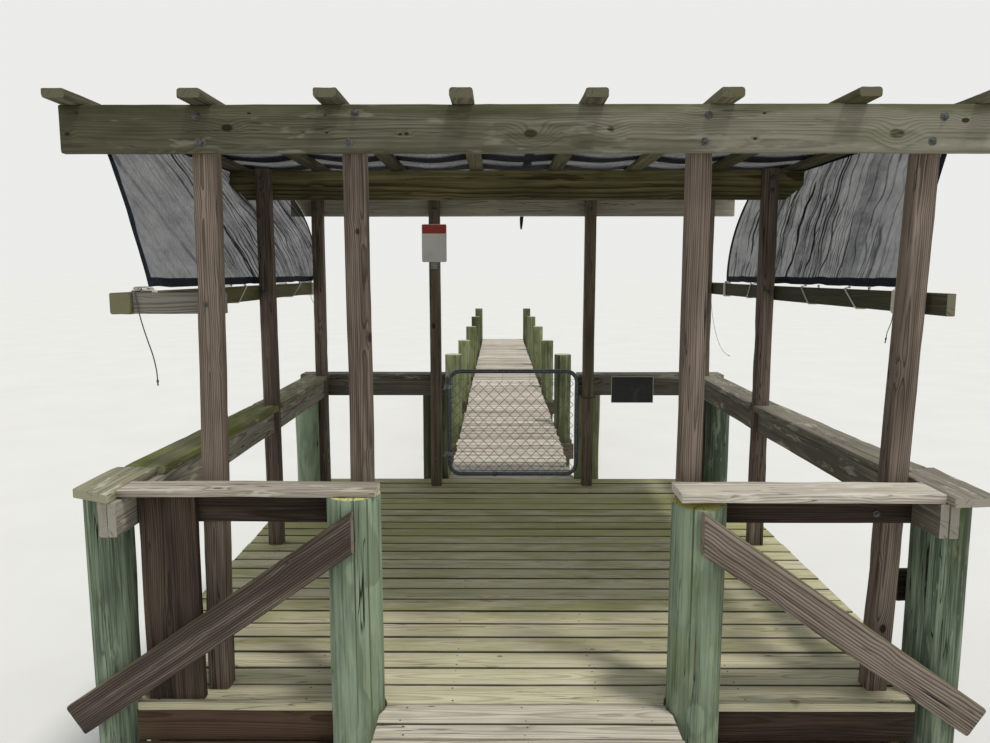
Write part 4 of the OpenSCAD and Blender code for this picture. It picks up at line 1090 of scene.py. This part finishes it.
def curtain(name, node, s, far_end, foot0, foot1, tilt, seed, depth, crowded):
    """A side curtain from the edge of the roof to just above the bar, drawn in by its ties.

    foot0 and foot1 are where its lower edge begins and ends, tilt slants its folds, depth is how far it is
    drawn in, and crowded is the stretch where folds are many.
    """
    length = far_end - CLOTH_Y0
    a, d = np.meshgrid(np.linspace(0, 1, 600), np.linspace(0, 1, 120), indexing="ij")
    foot = foot0 + (foot1 - foot0) * a
    x = CURTAIN_TOP + (foot - CURTAIN_TOP) * d
    y = CLOTH_Y0 + length * a
    z = CLOTH_Z - CURTAIN_DROP * d
    q = a - tilt[0] * d - tilt[1] * d * d
    body = np.sin(math.pi * np.clip(d, 0, 1)) ** 0.8
    wave = fold(q + 0.006 * fold(d, seed + 7, 4, 1, 5), seed, 10, 5, 26)
    wave = wave * (0.15 + 0.85 * np.clip(np.minimum(a, 1 - a) / 0.07, 0, 1))
    x = x - body * depth * (0.13 + 0.87 * a ** 1.5) - wave * 0.0048 * (0.2 + body)
    for row in (MID, REAR):
        x = lean_on(x, y, row, row + POST, SIDE_X)
    cut_z = BEAM_LOW + BEAM_CUT_H
    x = lean_on(x, y, MID + POST, MID + POST + PLANK, BEAM_L - 0.52 * np.maximum(cut_z - z, 0))
    z = z + 0.004 * d ** 6 * np.clip(fold(a, seed + 1, 5, 4, 11), 0, 3)
    size = (length, CURTAIN_CUT + depth * 0.06)
    crowd = np.clip((q - crowded[0]) / 0.16, 0, 1) * np.clip((crowded[1] - q) / 0.2, 0.25, 1)
    # Painted shade: the curtain is denser, so darker, along its folds and in thin crease lines
    crease = (0.03 + 0.13 * crowd) * np.clip(wave, -1, 1)
    for i, (lo, hi, thin, deep) in enumerate(CREASES):
        bend = q + 0.006 * fold(d + 0.1 * i, seed + 3 + i, 4, 1.5, 6) + 0.012 * (i - 1) * d
        course = fold(bend, seed + 2 + 5 * i, 9, lo, hi)
        soft = np.sqrt(thin ** 2 + np.square(np.gradient(course)).sum(axis=0))
        line = np.exp(-(course / soft) ** 2) * np.sqrt(thin / soft)
        fade = np.clip(0.9 + 0.8 * fold(0.8 * bend + 0.7 * d, seed + 10 + i, 5, 1, 7), 0, 1)
        crease = np.maximum(crease, deep * line * fade)
    density_and_fold_shade = np.maximum(0.8 * hem(a * size[0], d * size[1], size), (0.22 + 0.78 * crowd) * crease)
    cloth_piece(name, np.stack([s * x, y, z], -1), size, density_and_fold_shade, node)


curtain("left_side_curtain", "left_curtain", -1, -5.053, 1.655, 1.662, (0.28, 0.0), 21, 0.105, (0.08, 1.4))
curtain("right_side_curtain", "right_curtain", 1, -5.460, 1.686, 1.660, (-0.01, 0.01), 34, 0.060,
        (0.06, 0.95))

# Strap end that hangs under the rear beam
STRAP_L, STRAP_HALF, STRAP_TAPER = 0.105, 0.015, 0.009


def tapered(xs):
    """The edges of the strap's pointed end."""
    edge = STRAP_HALF - STRAP_TAPER * (xs / STRAP_L) ** 2
    return -edge, edge


part = Part(80)
y = REAR + POST + PLANK / 2
board(part, (0.078, y, BEAM_LOW), (0.074, y, BEAM_LOW - STRAP_L), X, 2 * STRAP_HALF, 0.004, r=0.0008,
      step=0.02, trim=tapered)
part.make("strap_end", strap)

# Lashings of the curtains
BAR_TOP = BAR_Z + NARROW
CORD_TINT = (0.5, 0, 0, 0.5)
LASH_R, HEAP_R, TIE_R = 0.0036, 0.0034, 0.0028
KNOT = [(0, 0.004), (0.003, 0.008), (0.009, 0.007), (0.012, 0.002)]


def wrapped(x0, x1, y0, pitch, turns, r):
    """The line of a cord that winds round a bar from x0 to x1."""
    g = r + 0.0006
    ring = [(x0 - g, BAR_TOP + g), (x0 - g, BAR_Z - g), (x1 + g, BAR_Z - g), (x1 + g, BAR_TOP + g)]
    return kinks([(ring[i % 4][0], y0 + i * pitch / 4, ring[i % 4][1]) for i in range(int(turns * 4) + 2)])


def bundle(x0, x1, y):
    """The line of loops that lie in a heap on the bar."""
    q = np.linspace(0, 5 * 2 * math.pi, 120)
    x = (x0 + x1) / 2 + (x1 - x0) * 0.42 * np.cos(q)
    z = BAR_TOP + 0.0125 + 0.006 * np.sin(q) + 0.0012 * np.sin(0.7 * q)
    return np.stack([x, y - 0.014 + 0.0011 * q + 0.003 * np.sin(2.3 * q), z], -1)


def tie_down(part, s, y0, y1, x0, x1, foot):
    """A slanted tie from the hem, under the bar and back to the hem."""
    g = 0.003
    low, high, run = BAR_Z - g, BAR_TOP + g, y1 - y0
    near, far, over = s * (x0 - g), s * (x1 + g), high + 0.006
    ring = [(s * foot, y0, over), (near, y0 + run * 0.1, high), (near, y0 + run * 0.75, low),
            (far, y0 + run * 0.8, low), (far, y0 + run * 0.9, high), (s * foot, y1, over)]
    for side in SIDES:
        tube(part, [q + (0, side * (TIE_R + 0.0001), 0) for q in kinks(ring, 0.05)], TIE_R, tint=CORD_TINT)
    for y in (y0, y1):
        lathe(part, (s * foot, y, high + 0.001), Z, KNOT, 8, CORD_TINT)


part = Part(81)
NEAR_TIE = -8.069
for (x0, x1), ys in (((-SIDE_X - POST, -SIDE_X), (NEAR_TIE, REAR - 0.030)),
                     ((SIDE_X, SIDE_X + PLANK), (NEAR_TIE, -5.494))):
    for y in ys:
        tube(part, wrapped(x0, x1, y - 0.018, 0.0076, 6.25, LASH_R), LASH_R, tint=CORD_TINT)
        tube(part, bundle(x0, x1, y), HEAP_R, tint=CORD_TINT)
for y0, y1 in ((-6.78, -7.02), (-5.48, -5.87)):
    tie_down(part, -1, y0, y1, SIDE_X, SIDE_X + POST, 1.658)
for y0, y1 in ((-6.98, -7.16), (-7.54, -7.75), (-6.11, -6.00)):
    tie_down(part, 1, y0, y1, SIDE_X, SIDE_X + PLANK, 1.672)
part.make("curtain_lashings", cord_white, "lashings")

# Gate: the tube runs along the middle of the frame from (GATE_X, GATE_Z)
TUBE_R, GATE_W, GATE_H, GATE_BEND = 0.0175, 1.068, 0.879, 0.09
GATE_X, GATE_Y, GATE_Z = -0.5415 + TUBE_R, REAR + POST / 2 - 0.006, DECK_Z + 0.078 + TUBE_R
GATE_TOP = GATE_Z + GATE_H
part = Part(82)
loop = round_corners(GATE_X, GATE_X + GATE_W, GATE_Z, GATE_TOP, GATE_BEND, 11)
tube(part, [(x, GATE_Y, z) for x, z in loop], TUBE_R, 20, closed=True, tint=(0.3, 0, 0, 0.5))
SLEEVE = [(-0.012, 0.0001), (-0.012, 0.001), (0.012, 0.001), (0.012, 0.0001)]
for x in (GATE_X + GATE_W - GATE_BEND - 0.03, GATE_X + GATE_BEND + 0.03):
    lathe(part, (x, GATE_Y, GATE_Z), X, [(h, TUBE_R + grow) for h, grow in SLEEVE], 20)
part.make("gate_tube", tube_zinc, "gate_frame", body="gate")

# Chain link inside the frame, whose opening starts at (OPEN_X, OPEN_Z)
LINK, LINK_WIRE_R, TOP_WIRE_R, TIE_WIRE_R = 0.089, 0.0022, 0.0016, 0.0013
HOOKS_X, TIES, TIE_STEP = (-0.375, -0.08, 0.148), 7, 0.115
OPEN_X, OPEN_Z, OPEN_W, OPEN_H, OPEN_R = GATE_X + 0.0178, GATE_Z + TUBE_R + SEAT, 1.0324, 0.8434, 0.0722
TOP_WIRE = OPEN_Z + OPEN_H - 0.050


def in_mesh(x, z, m=0.002):
    """Whether a point lies in the rounded opening of the tube frame and below the top wire."""
    dx = max(abs(x - (OPEN_X + OPEN_W / 2)) - (OPEN_W / 2 - OPEN_R), 0)
    dz = max(abs(z - (OPEN_Z + OPEN_H / 2)) - (OPEN_H / 2 - OPEN_R), 0)
    return math.hypot(dx, dz) < OPEN_R - m and z < TOP_WIRE + 0.004


def runs_in_mesh(pts):
    """The unbroken runs of three or more points that lie in the mesh."""
    runs = [[]]
    for q in pts:
        if in_mesh(q[0], q[2]):
            runs[-1].append(q)
        else:
            runs.append([])
    return [run for run in runs if len(run) > 2]


part = Part(83)
rows = int((TOP_WIRE - OPEN_Z) / (LINK / 2)) + 1
for i in range(-1, int(OPEN_W / (LINK / 2)) + 2):
    zigzag = []
    for k in range(rows + 1):
        odd = (k + i) % 2
        x, y = OPEN_X + (i + odd) * LINK / 2, GATE_Y + (0.0018 if odd else -0.0018)
        zigzag.append((x, y, OPEN_Z + k * LINK / 2))
    for run in runs_in_mesh(kinks(zigzag)):
        tube(part, run, LINK_WIRE_R, 6)
tube(part, [(OPEN_X + 0.004 + f * (OPEN_W - 0.008), GATE_Y - 0.003, TOP_WIRE + 0.002 * math.sin(9 * f))
            for f in np.linspace(0, 1, 12)], TOP_WIRE_R, 6)
for x in HOOKS_X:
    hook = [(0, -0.003, TOP_WIRE - 0.006), (0.003, -0.008, TOP_WIRE + 0.02),
            (0.002, -0.019, GATE_TOP - 0.006), (0, -0.016, GATE_TOP + 0.014),
            (-0.002, 0, GATE_TOP + TUBE_R + 0.001), (0, 0.016, GATE_TOP + 0.012)]
    tube(part, [(x + dx, GATE_Y + dy, z) for dx, dy, z in hook], TIE_WIRE_R, 6)
th = np.linspace(0, 2 * math.pi, 14)
for k in range(TIES):
    z = OPEN_Z + 0.06 + k * TIE_STEP
    x = GATE_X + 0.010 + (TUBE_R + 0.0022) * 1.2 * np.cos(th)
    y = GATE_Y + (TUBE_R + 0.0014) * np.sin(th)
    tube(part, np.stack([x, y, z + 0.004 * np.sin(th * 0.5)], -1), TIE_WIRE_R, 6)
CLIP = [(-0.018, 0.0185), (-0.018, 0.020), (0.018, 0.020), (0.018, 0.0185)]
lathe(part, (-0.142, GATE_Y - 0.004, GATE_Z), Z, CLIP, 18)
part.make("gate_wire", wire_zinc, "gate_mesh", body="gate")

# Latch chain round the right gate post
part = Part(84)
chain_z, link_l, corner = DECK_Z + 0.760, 0.019, POST / 2 + 0.006
left, right, front, back = GATE_POST - corner, GATE_POST + corner, REAR - 0.006, REAR + POST + 0.006
path = [(left, back), (left, front), (right, front), (right, back), (left, back)]
line = np.array([(x, y, chain_z + 0.008 * math.sin(3 * i)) for i, (x, y) in enumerate(path)])
dist = distances(line)
n = int(dist[-1] / link_l)
th = around(12)


def on_chain(f):
    """The point at the share f of the chain's length."""
    return np.array([np.interp(f * dist[-1], dist, line[:, j]) for j in range(3)])


for i in range(n):
    c = on_chain((i + 0.5) / n)
    e = on_chain((i + 0.6) / n) - c
    e /= np.linalg.norm(e)
    w = np.cross(e, Z) if i % 2 else np.array(Z, float)
    ring = c + np.outer(np.cos(th) * 0.0125, e) + np.outer(np.sin(th) * 0.0058, w)
    tube(part, ring, 0.0016, 6, closed=True)
lathe(part, (GATE_POST - 0.02, REAR - 0.014, chain_z), X,
      [(-0.022, 0.004), (-0.02, 0.008), (0.012, 0.008), (0.02, 0.005), (0.03, 0.004)], 12)
part.make("latch_chain", dark_zinc)


# Sign plates: left, right, lower and upper edges
PLATE_T = 0.002
WHITE_BOX = (-0.739, -0.537, DECK_Z + 1.880, DECK_Z + 2.185)
DARK_BOX = (0.841, 1.196, 1.950, 2.175)


def plate(part, box, back, r):
    """A flat plate in front of back, with round corners and a fine bevel."""
    out = np.array(round_corners(*box, r, 7))
    mid = np.array([(box[0] + box[1]) / 2, (box[2] + box[3]) / 2])
    n = len(out)
    shape = []
    for inset, dy in ((0.0, PLATE_T), (0.0, 0.0004), (0.0006, 0.0), (0.002, 0.0), (0.0028, 0.0003)):
        ring = mid + (out - mid) * (1 - inset / np.abs(out - mid).max(axis=1))[:, None]
        shape.append(np.stack([ring[:, 0], np.full(n, back - PLATE_T + dy), ring[:, 1]], -1))
    part.add(np.concatenate(shape), [f[::-1] for f in rings(5, n) + lids(5, n)])


def painted(name, base, band, edge, band_z, box, rim=0.004):
    """Even paint with a band of another colour above band_z and a rim of its own, a little weathered."""
    t = Tree(bpy.data.materials.new(name))
    place = t.value("TexCoord", at="Object")
    x, _, z = t.parts("SeparateXYZ", place)
    fine = t.noise(place, 30, 4.0, 0.6)
    dirt = t.noise(place, (7, 7, 4), 4.0, 0.6)

    def inside(v, a, b):
        """How far v lies between a and b."""
        return (b - a) / 2 - abs(v - (a + b) / 2)

    colour = t.mix(t.math("GREATER_THAN", z, band_z), rgb(base), rgb(band))
    near = t.math("MINIMUM", inside(x, box[0], box[1]), inside(z, box[2], box[3]))
    colour = t.mix(t.math("LESS_THAN", near, rim), colour, rgb(edge))
    colour = t.mix(t.span(dirt, 0.5, 0.75) * 0.25, colour, rgb("8a8470"))
    return t.finish(colour, t.span(fine, 0.3, 0.7, 0.45, 0.6), fine, 0.08)


def screws(part, places, y, profile, sides):
    """Round screw heads that face the land."""
    for x, z in places:
        lathe(part, (x, y, z), TO_LAND, profile, sides)


part = Part(85)
low, high = WHITE_BOX[2:]
plate(part, WHITE_BOX, REAR, 0.012)
screws(part, [(-GATE_POST, low + 0.02), (-GATE_POST, high - 0.016)], REAR - 0.0018,
       [(0, 0.006), (0.0015, 0.0055), (0.003, 0.003)], 12)
white_paint = painted("white_plate_paint", "e8e8e4", "b23a2c", "e8e8e4", high - 0.075, WHITE_BOX)
part.make("white_sign", white_paint, "white_plate")

# The dark plate's band would start far above it
NO_BAND = 9.0
part = Part(86)
plate(part, DARK_BOX, REAR + POST, 0.006)
corners = [(x, z) for x in (DARK_BOX[0] + 0.012, DARK_BOX[1] - 0.012)
           for z in (DARK_BOX[2] + 0.012, DARK_BOX[3] - 0.012)]
screws(part, corners, REAR + POST - 0.0018, [(0, 0.004), (0.0015, 0.0035), (0.002, 0.002)], 10)
dark_paint = painted("dark_plate_paint", "17191c", "17191c", "c9c9c2", NO_BAND, DARK_BOX)
part.make("dark_sign", dark_paint, "dark_plate")

# Bracket under the white plate
part = Part(89)
board(part, (-GATE_POST, REAR - 0.002, low - 0.055), (-GATE_POST, REAR - 0.002, low - 0.004), X, 0.058, 0.003,
      r=0.001, step=0.02)
screws(part, [(-0.655, low - 0.03), (-0.621, low - 0.03)], REAR - 0.0034,
       [(0, 0.005), (0.0015, 0.0045), (0.0025, 0.002)], 10)
part.make("plate_bracket", zinc)


# Bolts
def bolt(part, x, y, z, r=0.009, washer=0.017):
    """A washer, a hexagon head and the end of the thread, facing the land."""
    lathe(part, (x, y, z), TO_LAND, [(0, washer), (0.0016, washer), (0.0022, washer - 0.001)], 20)
    lathe(part, (x, y - 0.0022, z), TO_LAND, [(0, r * 1.1), (0.005, r * 1.1), (0.006, r)], 6)
    lathe(part, (x, y - 0.008, z), TO_LAND, [(0, r * 0.55), (0.004, r * 0.55), (0.005, r * 0.4)], 12)


# Bolts of the front beam: place across and height above the deck
BEAM_BOLTS = ((-0.670, 2.403), (-0.697, 2.293), (0.688, 2.294), (0.700, 2.395), (1.612, 2.389),
              (1.572, 2.296), (-1.290, 2.395), (-1.272, 2.295))
SMALL = (0.007, 0.014)
RAIL_BOLT_X, ARM_BOLT_X = 1.45, -1.30
part = Part(87)
for x, z in BEAM_BOLTS:
    bolt(part, x, FRONT - PLANK, DECK_Z + z)
for s in SIDES:
    for z in (BEAM_TOP - 0.135, BEAM_TOP - 0.055):
        for x, row in ((SIDE_POST, MID), (SIDE_POST, REAR), (GATE_POST, REAR)):
            bolt(part, s * x, row - SEAT, z)
    bolt(part, s * SIDE_POST, MID - SEAT, BAR_Z + 0.05, *SMALL)
    for z in (RAIL_Z + 0.04, RAIL_Z + 0.10):
        bolt(part, s * RAIL_BOLT_X, FRONT - PLANK, z, *SMALL)
bolt(part, ARM_BOLT_X, FRONT + 0.0005, BAR_Z + 0.045, *SMALL)
part.make("bolts", dark_zinc)

# Materials of the pieces that stay as they are
for name in ("hinge_pins", "gate_eyes"):
    for slot in bpy.data.objects[name].material_slots:
        slot.material = zinc

# Floor
FLOOR = 400
ground = Tree(bpy.data.materials.new("ground"))
soft = ground.noise(ground.value("TexCoord", at="Object"), 0.6, 3.0, 0.6)
ground.finish(ground.mix(soft, rgb("dcdbd7"), rgb("e8e7e3")), 0.95, Specular_IOR_Level=0.1)
mesh = bpy.data.meshes.new("floor")
corners = [(-FLOOR, -FLOOR, 0), (FLOOR, -FLOOR, 0), (FLOOR, FLOOR, 0), (-FLOOR, FLOOR, 0)]
mesh.from_pydata(corners, [], [(0, 1, 2, 3)])
mesh.materials.append(ground.owner)
floor = bpy.data.objects.new("floor", mesh)
bpy.context.scene.collection.objects.link(floor)

# Light: a soft sky that shows as a pale backdrop, and one wide lamp
world = bpy.data.worlds.new("studio")
bpy.context.scene.world = world
sky = Tree(world)
rays = [sky.value("LightPath", at=kind) for kind in ("Is Camera Ray", "Is Glossy Ray", "Is Transmission Ray")]
seen = sky.math("MAXIMUM", sky.math("MAXIMUM", rays[0], rays[1]), rays[2])
glow = sky.value("Background", (0.93, 0.97, 1.0, 1), 0.60)
back = sky.value("Background", (0.835, 0.84, 0.82, 1), 1.0)
sky.node("OutputWorld", sky.value("MixShader", seen, glow, back))

sun = bpy.data.objects.new("sun", bpy.data.lights.new("sun", "SUN"))
sun.data.energy = 1.8
sun.data.angle = math.radians(8)
sun.data.color = (1.0, 0.97, 0.93)
sun.rotation_euler = (math.radians(20), 0, math.radians(54))
bpy.context.scene.collection.objects.link(sun)
